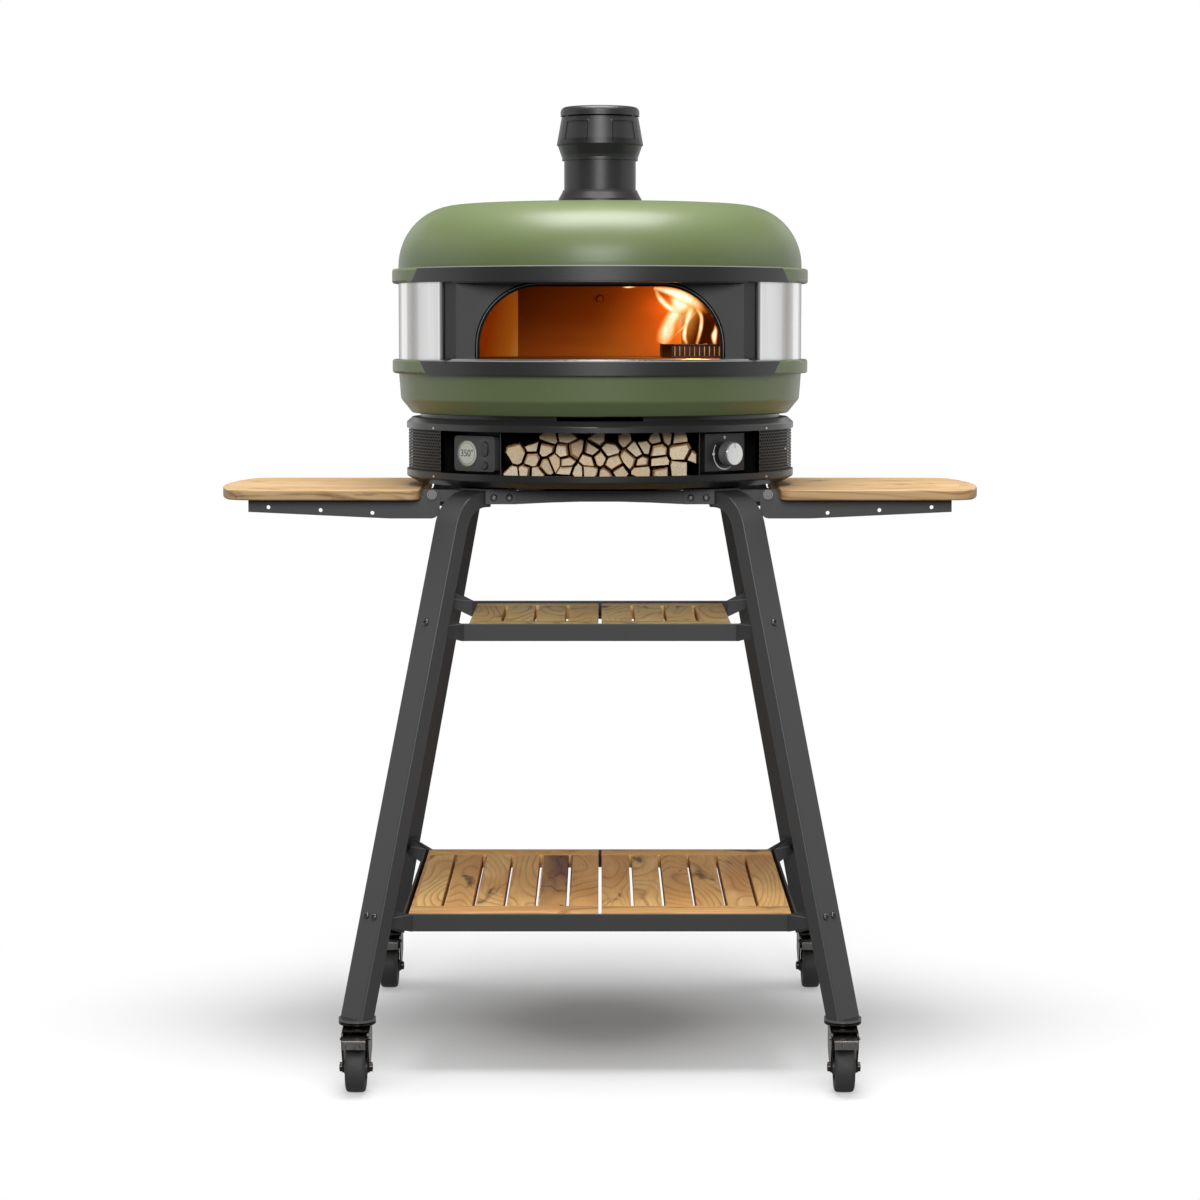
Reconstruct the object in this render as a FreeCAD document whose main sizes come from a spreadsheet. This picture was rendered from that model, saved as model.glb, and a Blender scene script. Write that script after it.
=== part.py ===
import FreeCAD, Part

import math
import os
import re

import Sketcher
from FreeCAD import Placement, Rotation, Vector

# Outdoor pizza oven on a wheeled stand with two folding side boards.
# Millimetres, +Z up, front of the oven towards -Y.
# The origin lies on the floor under the middle of the whole table.

SIZES = {
    # stand legs, in the upright plane along each diagonal
    "legTopReach": 310.76,
    "legLean": 14.92,
    "legFace": 50,
    "legDepth": 25,
    "legWall": 2,
    "legEdge": 3,
    "legTop": 891,
    "legBend": 52.5,
    "legEnd": 262,
    # sheet metal and fasteners of the stand
    "sheet": 3,
    "boltR": 3,
    "boltHeadR": 5.5,
    "boltHeadH": 3,
    "boltPlay": 0.2,
    # top frame
    "topSpan": 215,
    "topDrop": 20,
    "topArch": 4,
    "bracketIn": 128,
    "bracketCorner": 175,
    "railEnd": 172,
    # shelf rails
    "railHigh": 27,
    "railWide": 290,
    "railSide": 301,
    "lowRailZ": 223,
    "midRailZ": 659,
    "midRailY": 200,
    "bendIn": 0.5,
    "sideBendIn": 1.4,
    "midBendOut": 14,
    "flangeWide": 16,
    "ledgeWide": 40,
    "lowLedgeUp": 3,
    # slatted wood panels
    "panelThick": 22,
    "panelGap": 5,
    "panelPlay": 3,
    "slotWide": 5,
    "lowBatten": 56,
    "midHalfX": 203.6,
    "midInset": 24,
    "midBatten": 40,
    # folding side boards
    "pivotOut": 44.6,
    "pivotDrop": 7.4,
    "pivotR": 5,
    "pivotHeadR": 7.5,
    "pivotHeadH": 3,
    "armY": 168,
    "armGap": 0.5,
    "armEnd": 284,
    "armSeat": 7.6,
    "armTop": 8,
    "armTip": 26.9,
    "armDrop": 37.1,
    "armKnee": 65.4,
    "armHookR": 3,
    "boardIn": 18.6,
    "boardOut": 338.4,
    "boardBow": 27.6,
    "boardHalfY": 198,
    "boardThick": 16,
    "boardOuterR": 42,
    "boardInnerR": 20,
    "boardEdge": 2.5,
    "seatFlange": 18,
    # casters
    "wheelR": 38,
    "wheelWide": 32,
    "tyreThick": 14,
    "trail": 27,
    "casterOver": 31.5,
    "axleR": 4,
    "forkSheet": 2.5,
    "swivelR": 28,
    "swivelHigh": 6,
    "swivelPlay": 0.3,
    "stemDisc": 4.2,
    "stemR": 6,
    "stemHigh": 22,
    "pedalDrop": 13,
    "pedalOut": 13,
    "pedalWide": 34,
    # oven shells, turned about the middle, from the bottom up
    "bodyR": 320,
    "shellWall": 4,
    "bellyIn": 21,
    "waistIn": 3,
    "waistRise": 22.5,
    "bowlHigh": 40,
    "rimOut": 10,
    "rimEdge": 4,
    "lowRimHigh": 22,
    "wallHigh": 119,
    "upRimHigh": 23,
    "shoulderHigh": 98,
    "shoulderR": 95,
    "domeRise": 6.5,
    # front bands, plate and mouth
    "upBandIn": 40,
    "lowBandIn": 42.3,
    "bandSlant": 11.3,
    "bandDrop": 2,
    "wrapSheet": 1.5,
    "wrapIn": 82,
    "plateIn": 21,
    "plateOut": 27.1,
    "landingIn": 89,
    "landingSheet": 2,
    "mouthPillar": 34.5,
    "mouthHeader": 5.6,
    "mouthR": 90,
    "trimWide": 5,
    "trimOut": 3,
    # cooking chamber
    "chamberWall": 5,
    "chamberRise": 12,
    "chamberNarrow": 25,
    "chamberSideIn": 58,
    "chamberFrontY": 130,
    "chamberRearY": 110,
    "chamberBackX": 136,
    "chamberBackIn": 84,
    "stoneThick": 20,
    "stoneSeam": 1,
    "stonePlay": 0.5,
    "guardX": 98,
    "guardY": 75,
    "guardHigh": 25,
    "guardSheet": 2,
    "guardIn": 37,
    "burnerR": 10,
    "burnerIn": 92,
    "probeR": 5,
    "probeDrop": 34,
    "probeOut": 9,
    # flue
    "flueY": 110,
    "flueR": 55.5,
    "flueWall": 1.5,
    "flueOut": 72.5,
    "skirtOut": 9,
    "skirtHigh": 13,
    "beadOut": 1.7,
    "capOver": 12,
    "capFlare": 24,
    "capHigh": 42,
    "capWideOut": 11.5,
    "capTopOut": 4,
    "capWall": 2.5,
    "lidOut": 1.5,
    "lidGap": 2,
    "lidHigh": 14,
    "windowDeep": 1.2,
    # base drum, from the bottom up
    "footHigh": 4,
    "footR": 15,
    "footXY": 165,
    "drumIn": 12,
    "trayIn": 17,
    "trayRise": 9,
    "lipHigh": 11,
    "openHigh": 65,
    "coverIn": 9,
    "coverLip": 9,
    "coverRise": 8,
    "neckHigh": 6.5,
    "neckIn": 13,
    "neckWide": 16,
    "neckGap": 65,
    "grilleIn": 3,
    "grilleSheet": 1.5,
    "openAngle": 53.5,
    "grilleEnd": 126.5,
    "grilleHole": 4.4,
    # what sits in the drum
    "storeX": 150,
    "storeBack": 80,
    "storeIn": 50,
    "panelTurn": 42,
    "bulkheadIn": 46,
    "bulkheadHalf": 88,
    "unitIn": 21,
    "unitX": 86,
    "unitZ": 54,
    "unitDrop": 2,
    "displayR": 20,
    "displayX": 14.8,
    "buttonX": 22.4,
    "buttonOut": 1.5,
    "longX": 16,
    "longZ": 25,
    "longUp": 7.5,
    "roundR": 6.75,
    "roundDown": 17.7,
    "gasIn": 24,
    "gasHalf": 42,
    "gasX": 1,
    "knobR": 18.5,
    "knobHigh": 18,
    "knobGap": 4.5,
    "spindleR": 4,
    "valveR": 11,
    "inletR": 8,
    "inletOut": 30,
    "inletUp": 47,
    "runPlay": 0.06,
}


def bolt_height(railZ, plane, bend):
    # where the middle of a rail's turned end comes out on the outer face of a leg
    return (f"cos(legLean)^2*({railZ} + railHigh/2) + sin(legLean)*(legDepth/2 + "
            f"cos(legLean)*(legReach - ({plane} + {bend})/sqrt(2)))")


# cells worked out from the sizes: heights stack up from the floor, radii follow bodyR
DERIVED = {
    "legCut": "2*wheelR + casterOver",
    "legReach": "legTopReach + tan(legLean)*(legTop - legDepth/2)",
    "lowBend": "railWide - bendIn",
    "sideBend": "railSide - sideBendIn",
    "midBend": "midRailY + midBendOut",
    "lowBoltZ": bolt_height("lowRailZ", "railWide", "lowBend"),
    "midBoltZ": bolt_height("midRailZ", "midRailY", "midBend"),
    "lowHalfX": "railSide - sheet - 2*panelPlay",
    "lowHalfY": "railWide - sheet - panelPlay",
    "midHalfY": "midRailY - sheet - midInset",
    "pivotX": "topSpan + pivotOut",
    "pivotZ": "legTop - pivotDrop",
    "casterXY": "(legReach - tan(legLean)*legCut)/sqrt(2)",
    "forkTop": "legCut - stemDisc - swivelPlay - swivelHigh",
    "pedalZ": "forkTop - pedalDrop",
    "hubR": "wheelR - tyreThick",
    "hubWide": "wheelWide + 3",
    "hubBore": "axleR + runPlay",
    "forkGap": "hubWide + 1",
    "drumLow": "legTop + sheet + footHigh",
    "drumFoot": "drumLow + trayRise",
    "drumLip": "drumFoot + lipHigh",
    "drumOpen": "drumLip + openHigh",
    "drumHead": "drumOpen + coverLip",
    "drumTop": "drumHead + coverRise",
    "bellyZ": "drumTop + neckHigh",
    "waistZ": "bellyZ + waistRise",
    "lowRimLow": "waistZ + bowlHigh",
    "lowRimTop": "lowRimLow + lowRimHigh",
    "floorZ": "lowRimTop + landingSheet",
    "upRimLow": "lowRimTop + wallHigh",
    "upRimTop": "upRimLow + upRimHigh",
    "domeEdge": "upRimTop + shoulderHigh",
    "domeTop": "domeEdge + domeRise",
    "mouthTop": "upRimLow - bandDrop - mouthHeader",
    "chamberTop": "upRimLow + chamberRise",
    "probeZ": "chamberTop - probeDrop",
    "rimR": "bodyR + rimOut",
    "waistR": "bodyR - waistIn",
    "bellyR": "bodyR - bellyIn",
    "upBandTopX": "bodyR - upBandIn",
    "upBandLowX": "upBandTopX + bandSlant",
    "lowBandTopX": "bodyR - lowBandIn",
    "lowBandLowX": "lowBandTopX - bandSlant",
    "landingR": "rimR - bandDrop",
    "landingX": "bodyR - landingIn",
    "wrapX": "bodyR - wrapIn",
    "wrapY": "sqrt(bodyR^2 - wrapX^2)",
    "plateX": "wrapX - plateIn",
    "plateY": "wrapY + plateOut",
    "mouthX": "plateX - mouthPillar",
    "chamberFrontX": "plateX - chamberNarrow",
    "chamberSideX": "bodyR - chamberSideIn",
    "chamberBackY": "bodyR - chamberBackIn",
    "burnerX": "chamberSideX - burnerIn",
    "flueTop": "domeTop + flueOut",
    "skirtR": "flueR + skirtOut",
    "beadR": "flueR + beadOut",
    "capLow": "flueTop - capOver",
    "capWideZ": "capLow + capFlare",
    "capTop": "capWideZ + capHigh",
    "capWideR": "flueR + capWideOut",
    "capTopR": "flueR + capTopOut",
    "lidR": "capTopR + lidOut",
    "lidLow": "capTop + lidGap",
    "lidTop": "lidLow + lidHigh",
    "drumR": "bodyR - drumIn",
    "drumLowR": "drumR - trayIn",
    "drumTopR": "drumR - coverIn",
    "neckR": "bellyR - neckIn",
    "neckInR": "neckR - neckWide",
    "grilleR": "drumR - grilleIn",
    "storeFront": "drumR - storeIn",
    "bulkheadR": "drumR - bulkheadIn",
    "unitFace": "drumR - unitIn",
    "unitMidZ": "(drumLip + drumOpen)/2 - unitDrop",
    "longMidZ": "unitMidZ + longUp",
    "roundMidZ": "unitMidZ - roundDown",
    "gasFace": "drumR - gasIn",
    "inletZ": "drumLow + inletUp",
}

doc = FreeCAD.newDocument("PizzaOvenTable")
sheet = doc.addObject("Spreadsheet::Sheet", "Sizes")
cells = {**SIZES, **{alias: "=" + text for alias, text in DERIVED.items()}}
for row, (alias, value) in enumerate(cells.items(), 1):
    sheet.set(f"A{row}", alias)
    sheet.set(f"B{row}", str(value))
    sheet.setAlias(f"B{row}", alias)
doc.recompute()


class Cells:
    # the sheet's values by name, for places and formulas worked out here
    def __getattr__(self, name):
        return float(sheet.get(name))


size = Cells()
parts = []


def bound(text):
    # cell names in a formula become references to the sheet
    return re.sub(r"[A-Za-z]+", lambda m: f"Sizes.{m[0]}" if m[0] in cells else m[0], str(text))


def number(text):
    return float(sheet.evalExpression(bound(text)))


def at(x=0, y=0, z=0, turn=0, about=Vector(0, 0, 1)):
    return Placement(Vector(x, y, z), Rotation(about, turn))


def prim(kind, name, place=None, **sizes):
    # a Part primitive with its sizes bound to the sheet
    item = doc.addObject("Part::" + kind, name)
    for prop, text in sizes.items():
        item.setExpression(prop, bound(text))
    if place:
        item.Placement = place
    return item


def block(name, x, y, z, place=None):
    # a box between two formulas along each axis
    spans = [f"({hi}) - ({lo})" for lo, hi in (x, y, z)]
    item = prim("Box", name, Length=spans[0], Width=spans[1], Height=spans[2])
    low = Vector(number(x[0]), number(y[0]), number(z[0]))
    item.Placement = (place or Placement()).multiply(Placement(low, Rotation()))
    return item


def rod(name, radius, length, start, along):
    # a cylinder from a start point in a direction
    turn = Rotation(Vector(0, 0, 1), along)
    return prim("Cylinder", name, Placement(start, turn), Radius=radius, Height=length)


def cut(name, base, *tools):
    item = doc.addObject("Part::Cut", name)
    item.Base = base
    item.Tool = tools[0] if len(tools) == 1 else join(name + "Tools", *tools)
    return item


def join(name, *items):
    item = doc.addObject("Part::MultiFuse", name)
    item.Shapes = list(items)
    return item


def overlap(name, *items):
    item = doc.addObject("Part::MultiCommon", name)
    item.Shapes = list(items)
    return item


def part(label, *items, place=None):
    # one named piece, or a group of separate solids, for its own file
    item = doc.addObject("Part::Compound", label)
    item.Links = list(items)
    item.Label = label
    item.Placement = place or Placement()
    parts.append(item)
    return item


def corner_arc(before, corner, after, radius):
    # tangent points of a rounded corner and its arc, which always runs anticlockwise
    toBefore = (before - corner).normalize()
    toAfter = (after - corner).normalize()
    half = toBefore.getAngle(toAfter) / 2
    reach = radius / math.tan(half)
    centre = corner + (toBefore + toAfter).normalize() * (radius / math.sin(half))
    first, last = corner + toBefore * reach, corner + toAfter * reach
    forward = toAfter.cross(toBefore).z > 0
    spots = (first, last) if forward else (last, first)
    angles = [math.atan2(p.y - centre.y, p.x - centre.x) for p in spots]
    if angles[1] < angles[0]:
        angles[1] += 2 * math.pi
    circle = Part.Circle(centre, Vector(0, 0, 1), radius)
    return first, last, Part.ArcOfCircle(circle, *angles), forward


def outline(sketch, corners, closed=True):
    # lines through corners; a corner is (x, y) or (x, y, radius), each a formula
    spots = [Vector(number(c[0]), number(c[1]), 0) for c in corners]
    count = len(corners)
    ends = []
    for i, corner in enumerate(corners):
        if len(corner) == 3:
            after = spots[(i + 1) % count]
            ends.append(corner_arc(spots[i - 1], spots[i], after, number(corner[2])))
        else:
            ends.append((spots[i], spots[i]))
    lines = {}
    for i in range(count if closed else count - 1):
        segment = Part.LineSegment(ends[i][1], ends[(i + 1) % count][0])
        lines[i] = sketch.addGeometry(segment)
    for i, corner in enumerate(corners):
        into = lines.get((i - 1) % count)
        out = lines.get(i)
        if len(corner) == 3:
            arc = sketch.addGeometry(ends[i][2])
            start, stop = (1, 2) if ends[i][3] else (2, 1)
            pin, end = sketch.addGeometry(Part.Point(spots[i]), True), 1
            sketch.addConstraint(Sketcher.Constraint("PointOnObject", pin, 1, into))
            sketch.addConstraint(Sketcher.Constraint("PointOnObject", pin, 1, out))
            sketch.addConstraint(Sketcher.Constraint("Tangent", into, 2, arc, start))
            sketch.addConstraint(Sketcher.Constraint("Tangent", arc, stop, out, 1))
            bind(sketch, "Radius", corner[2], arc)
        elif out is None:
            pin, end = into, 2
        else:
            pin, end = out, 1
            if into is not None:
                sketch.addConstraint(Sketcher.Constraint("Coincident", into, 2, out, 1))
        bind(sketch, "DistanceX", corner[0], -1, 1, pin, end)
        bind(sketch, "DistanceY", corner[1], -1, 1, pin, end)


def bind(sketch, kind, text, *where):
    index = sketch.addConstraint(Sketcher.Constraint(kind, *where, number(text)))
    sketch.setExpression(f"Constraints[{index}]", bound(text))


def sketch_on(body, plane, corners, offset="0", closed=True):
    # a sketch on one of the body's origin planes, moved along its normal
    sketch = body.newObject("Sketcher::SketchObject", f"{body.Name}{plane}")
    support = [f for f in body.Origin.OriginFeatures if f.Role == plane + "_Plane"][0]
    sketch.AttachmentSupport = [(support, "")]
    sketch.MapMode = "FlatFace"
    sketch.setExpression("AttachmentOffset.Base.z", bound(offset))
    outline(sketch, corners, closed)
    return sketch


def sketched(name, plane, corners, offset="0"):
    body = doc.addObject("PartDesign::Body", name)
    return body, sketch_on(body, plane, corners, offset)


def frame_box(halfX, halfY, radius):
    # corners of a rounded rectangle about the middle
    signs = [(-1, -1), (1, -1), (1, 1), (-1, 1)]
    return [(f"{sx}*({halfX})", f"{sy}*({halfY})", radius) for sx, sy in signs]


def pad(name, plane, corners, span):
    # an outline pushed from one formula to another along the plane's normal
    body, sketch = sketched(name, plane, corners, span[0])
    feature = body.newObject("PartDesign::Pad", name + "Pad")
    feature.Profile = sketch
    feature.setExpression("Length", bound(f"({span[1]}) - ({span[0]})"))
    return body


def turned(name, corners, place=None):
    # an outline of (radius, height) turned a full circle about Z
    body, sketch = sketched(name, "XZ", corners)
    feature = body.newObject("PartDesign::Revolution", name + "Turn")
    feature.Profile = sketch
    feature.ReferenceAxis = (sketch, ["V_Axis"])
    feature.Angle = 360
    if place:
        body.Placement = place
    return body


def rounded(body, radius, wanted):
    # fillets the edges of a body that a test picks
    doc.recompute()
    tip = body.Tip
    names = [f"Edge{i}" for i, e in enumerate(tip.Shape.Edges, 1) if wanted(e)]
    feature = body.newObject("PartDesign::Fillet", body.Name + "Fillet")
    feature.Base = (tip, names)
    feature.setExpression("Radius", bound(radius))
    return body


def ring(name, outer, inner, low, high):
    # a flat ring or tube between two heights
    return turned(name, [(inner, low), (outer, low), (outer, high), (inner, high)])


CORNERS = {"front_left": 225, "front_right": 315, "rear_left": 135, "rear_right": 45}
SIGNS = {"front_left": (-1, -1), "front_right": (1, -1), "rear_left": (-1, 1), "rear_right": (1, 1)}
LEAN = math.radians(size.legLean)
ACROSS = Vector(math.cos(LEAN), 0, math.sin(LEAN))
ALONG = Vector(-math.sin(LEAN), 0, math.cos(LEAN))


def leg_line(shift, z):
    # distance along the diagonal of a line parallel to the leg's middle
    return f"legReach + ({shift})/cos(legLean) - tan(legLean)*({z})"


def leg_spot(boltZ, tangential=0, depth=0):
    # a point under the outer face of the leg, in the diagonal's own frame
    outer = Vector(number(leg_line("legDepth/2", boltZ)), tangential, number(boltZ))
    return outer - ACROSS * depth


# plane and bend of each kind of rail, and the side of the diagonal that it lies on
RAILS = {"front": ("railWide", "lowBend", 1), "side": ("railSide", "sideBend", -1),
         "middle": ("midRailY", "midBend", 1)}
TURNS = {"front_left": 1, "front_right": -1, "rear_left": -1, "rear_right": 1}


def tab_place(corner, kind):
    # sideways place of a rail's tab and of its bolt on the leg, positive anticlockwise
    plane, bend, side = RAILS[kind]
    side *= TURNS[corner]
    strip = side * number(f"({plane} - {bend})/sqrt(2)")
    return strip, strip + side * size.flangeWide / 2, side


def leg_bolts(corner):
    # height and sideways place of the bolts through a leg
    return [("lowBoltZ", tab_place(corner, "front")[1]), ("lowBoltZ", tab_place(corner, "side")[1]),
            ("midBoltZ", tab_place(corner, "middle")[1])]


def leg(corner):
    # a bent tube: its frame has Z up the leg and X outwards, across it
    name = "leg_" + corner
    middle = "legTop - legDepth/2"
    foot = "legCut - legDepth"
    length = f"({middle} - ({foot}))/cos(legLean)"
    run = f"{leg_line('0', middle)} - legEnd"
    bentX, bentZ = f"-({run})*cos(legLean)", f"{length} + ({run})*sin(legLean)"
    tube = doc.addObject("PartDesign::Body", name + "_tube")
    section = sketch_on(tube, "XY", frame_box("legDepth/2", "legFace/2", "legEdge"))
    outline(section, frame_box("legDepth/2 - legWall", "legFace/2 - legWall", "legEdge - legWall"))
    path = sketch_on(tube, "XZ", [("0", "0"), ("0", length, "legBend"), (bentX, bentZ)], "0", False)
    sweep = tube.newObject("PartDesign::AdditivePipe", name + "_sweep")
    sweep.Profile = section
    sweep.Spine = path
    start = Vector(number(leg_line("0", foot)), 0, number(foot))
    tube.Placement = Placement(start, Rotation(ACROSS, Vector(0, 1, 0), ALONG, "XZY"))
    below = block(name + "_below", ("legEnd", "2*legReach"), ("-legFace", "legFace"), ("0", "legCut"))
    holes = [rod(f"{name}_hole{i}", "boltR + boltPlay", "legDepth + 2", leg_spot(z, offset, -1),
                 ACROSS * -1) for i, (z, offset) in enumerate(leg_bolts(corner))]
    cutTube = cut(name + "_cut", tube, below, *holes)
    return part(name, cutTube, place=at(turn=CORNERS[corner]))


def tab(name, corner, kind, boltZ, bend):
    # a rail's end: a strip from its bend to the leg, and a foot flat on the leg
    edge, middle, side = tab_place(corner, kind)
    foot = leg_spot(boltZ, middle, size.legDepth + size.sheet)
    frame = Placement(foot, Rotation(ACROSS, Vector(0, 1, 0), ALONG, "XZY"))
    half = ("-railHigh/2", "railHigh/2")
    plate = block(name + "_foot", ("0", "sheet"), ("-flangeWide/2", "flangeWide/2"), half, frame)
    start = at(turn=-CORNERS[corner]).multVec(bend)
    inside = start - Vector(size.sheet, 0, 0)
    upright = Vector(0, 0, size.railHigh)
    low, high = (foot + ACROSS * size.sheet + ALONG * (size.railHigh / 2 * up) for up in (-1, 1))
    low.y = high.y = start.y
    face = Part.Face(Part.makePolygon([
        inside, start, low, high, start + upright, inside + upright, inside]))
    strip = doc.addObject("Part::Feature", name + "_strip")
    strip.Shape = face.extrude(Vector(0, side * size.sheet, 0))
    hole = rod(name + "_hole", "boltR + boltPlay", "sheet + 2",
               leg_spot(boltZ, middle, size.legDepth - 1), ACROSS * -1)
    drilled = cut(name + "_drilled", join(name + "_joined", strip, plate), hole)
    drilled.Placement = at(turn=CORNERS[corner])
    return drilled


def rail(label, kind, face, railZ, ledgeUp, boltZ):
    # an angle rail whose ends turn out to the legs
    plane, bend, _ = RAILS[kind]
    strip = block(label + "_face", (f"-{bend}", bend), (f"{plane} - sheet", plane),
                  (railZ, f"{railZ} + railHigh"))
    ledge = block(label + "_ledge", (f"ledgeWide - {bend}", f"{bend} - ledgeWide"),
                  (f"{plane} - ledgeWide", f"{plane} - sheet"),
                  (f"{railZ} + {ledgeUp}", f"{railZ} + {ledgeUp} + sheet"))
    turn = at(turn={"front": 180, "rear": 0, "left": 90, "right": 270}[face])
    angle = join(label + "_angle", strip, ledge)
    angle.Placement = turn
    tabs = []
    for end in (-1, 1):
        spot = turn.multVec(Vector(end * number(bend), number(plane), number(railZ)))
        corner = ("front" if spot.y < 0 else "rear") + ("_left" if spot.x < 0 else "_right")
        tabs.append(tab(f"{label}_{corner}", corner, kind, boltZ, spot))
    return join(label + "_whole", angle, *tabs)


def frame_bolt(name, spot, along, grip, corner):
    # a domed bolt with its nut past the grip
    head = rod(name + "_head", "boltHeadR", "boltHeadH", spot, along * -1)
    shank = rod(name + "_shank", "boltR", f"{grip} + 5", spot, along)
    nut = rod(name + "_nut", "boltHeadR - 1", "4", spot + along * number(grip), along)
    bolt = join(name, head, shank, nut)
    bolt.Placement = at(turn=CORNERS[corner])
    return bolt


def panel(label, side, halfX, halfY, top, slats, batten):
    # one slatted half of a shelf: slats between two end battens
    lowX, highX = "panelGap/2", halfX
    board = block(label + "_board", (lowX, highX), (f"-{halfY}", halfY), (f"{top} - panelThick", top))
    slots = []
    for i in range(1, slats):
        middle = f"{highX} - ({highX} - panelGap/2)/{slats}*{i}"
        slots.append(block(f"{label}_slot{i}", (f"{middle} - slotWide/2", f"{middle} + slotWide/2"),
                           (f"{batten} - {halfY}", f"{halfY} - {batten}"),
                           (f"{top} - panelThick - 1", f"{top} + 1")))
    whole = cut(label + "_cut", board, *slots)
    whole.Placement = at(turn=0 if side > 0 else 180)
    return whole


def top_frame():
    # four rails under the oven, gusset brackets on the legs and ears for the side boards
    arch = [(f"railEnd*{i}", f"legTop - topDrop + topArch*{up}") for i, up in (
        (-1, 0), (-0.72, 0.05), (-0.45, 0.6), (-0.18, 0.95), (0.18, 0.95), (0.45, 0.6),
        (0.72, 0.05), (1, 0))] + [("railEnd", "legTop"), ("-railEnd", "legTop")]
    rails = []
    for turn in (0, 90, 180, 270):
        name = f"top_rail{turn}"
        web = pad(name + "_web", "XZ", arch, ("topSpan - 2*sheet", "topSpan - sheet"))
        lip = block(name + "_lip", ("40 - railEnd", "railEnd - 40"),
                    ("2*sheet - topSpan", "2*sheet + 20 - topSpan"), ("legTop - sheet", "legTop"))
        holes = [rod(f"{name}_hole{i}", "boltR + boltPlay", "4*sheet", Vector(
            x, -size.topSpan - 1, size.legTop - size.topDrop / 2), Vector(0, 1, 0))
            for i, x in enumerate(bracket_bolts(turn))]
        whole = cut(name + "_cut", join(name + "_whole", web, lip), *holes)
        whole.Placement = at(turn=turn)
        rails.append(whole)
    part("top_rails", *rails)
    part("corner_brackets", *[bracket(corner, *signs) for corner, signs in SIGNS.items()])


def bracket_bolts(turn):
    # distances along a top rail of the two bolts at each of its ends
    near, far = (11, 34.5) if turn in (0, 180) else (8, 24)
    near, far = size.bracketIn + near, size.bracketIn + far
    return [-far, -near, near, far]


def bracket(corner, sx, sy):
    # a gusset over the leg with a flange down each side and an ear for a side board's arm
    name = "bracket_" + corner
    plan = [("bracketIn", "topSpan"), ("bracketCorner", "topSpan"), ("topSpan", "bracketCorner"),
            ("topSpan", "bracketIn"), ("bracketIn + 20", "bracketIn"), ("bracketIn", "bracketIn + 20")]
    plan = [(f"{sx}*({x})", f"{sy}*({y})") for x, y in plan]
    top = pad(name + "_top", "XY", plan, ("legTop", "legTop + sheet"))
    down = ("legTop - topDrop", "legTop")
    inner = sorted([sx * size.bracketIn, sx * size.bracketCorner])
    front = block(name + "_front", (inner[0], inner[1]), span(sy, "topSpan - sheet", "topSpan"), down)
    inner = sorted([sy * size.bracketIn, sy * size.bracketCorner])
    flank = block(name + "_flank", span(sx, "topSpan - sheet", "topSpan"), (inner[0], inner[1]), down)
    ear = block(name + "_ear", span(sx, "topSpan - sheet", "pivotX + pivotHeadR"),
                span(sy, "armY - armGap - sheet", "armY - armGap"), ("pivotZ - 11", "legTop"))
    high = size.legTop - size.topDrop / 2
    holes = [rod(name + "_pin_hole", "pivotR", "20", Vector(
        sx * size.pivotX, sy * (size.armY - 10), size.pivotZ), Vector(0, sy, 0))]
    for i in (2, 3):
        spot = bracket_bolts(0)[i]
        holes.append(rod(f"{name}_hole{i}", "boltR + boltPlay", "3*sheet", Vector(
            sx * spot, sy * (size.topSpan + 1), high), Vector(0, -sy, 0)))
        spot = bracket_bolts(90)[i]
        holes.append(rod(f"{name}_side_hole{i}", "boltR + boltPlay", "3*sheet", Vector(
            sx * (size.topSpan + 1), sy * spot, high), Vector(-sx, 0, 0)))
    return cut(name + "_cut", join(name + "_whole", top, front, flank, ear), *holes)


def span(sign, near, far):
    # the two ends of a stretch, in order, on either side of the middle
    return (near, far) if sign > 0 else (f"-({far})", f"-({near})")


def bolts():
    # all frame bolts as one group, and the four hinge pins as another
    made = []
    for corner in CORNERS:
        for i, (z, offset) in enumerate(leg_bolts(corner)):
            made.append(frame_bolt(f"bolt_{corner}{i}", leg_spot(z, offset), ACROSS * -1,
                                   "legDepth + sheet", corner))
    high = size.legTop - size.topDrop / 2
    for turn in (0, 90, 180, 270):
        for i, spot in enumerate(bracket_bolts(turn)):
            name = f"top_bolt_{turn}_{i}"
            start, inwards = Vector(spot, -size.topSpan, high), Vector(0, 1, 0)
            item = frame_bolt(name, start, inwards, "2*sheet", "front_left")
            item.Placement = at(turn=turn)
            made.append(item)
    part("frame_bolts", *made)
    pins = []
    for sx in (-1, 1):
        for sy in (-1, 1):
            name = f"hinge_pin{sx}{sy}"
            start = Vector(sx * size.pivotX, sy * (size.armY - size.sheet - 3), size.pivotZ)
            outwards = Vector(0, sy, 0)
            shank = rod(name + "_shank", "pivotR", "2*sheet + 4", start, outwards)
            head = rod(name + "_head", "pivotHeadR", "pivotHeadH",
                       start + outwards * (2 * size.sheet + 3 + size.armGap), outwards)
            pins.append(join(name, shank, head))
    part("hinge_pins", *pins)


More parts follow.
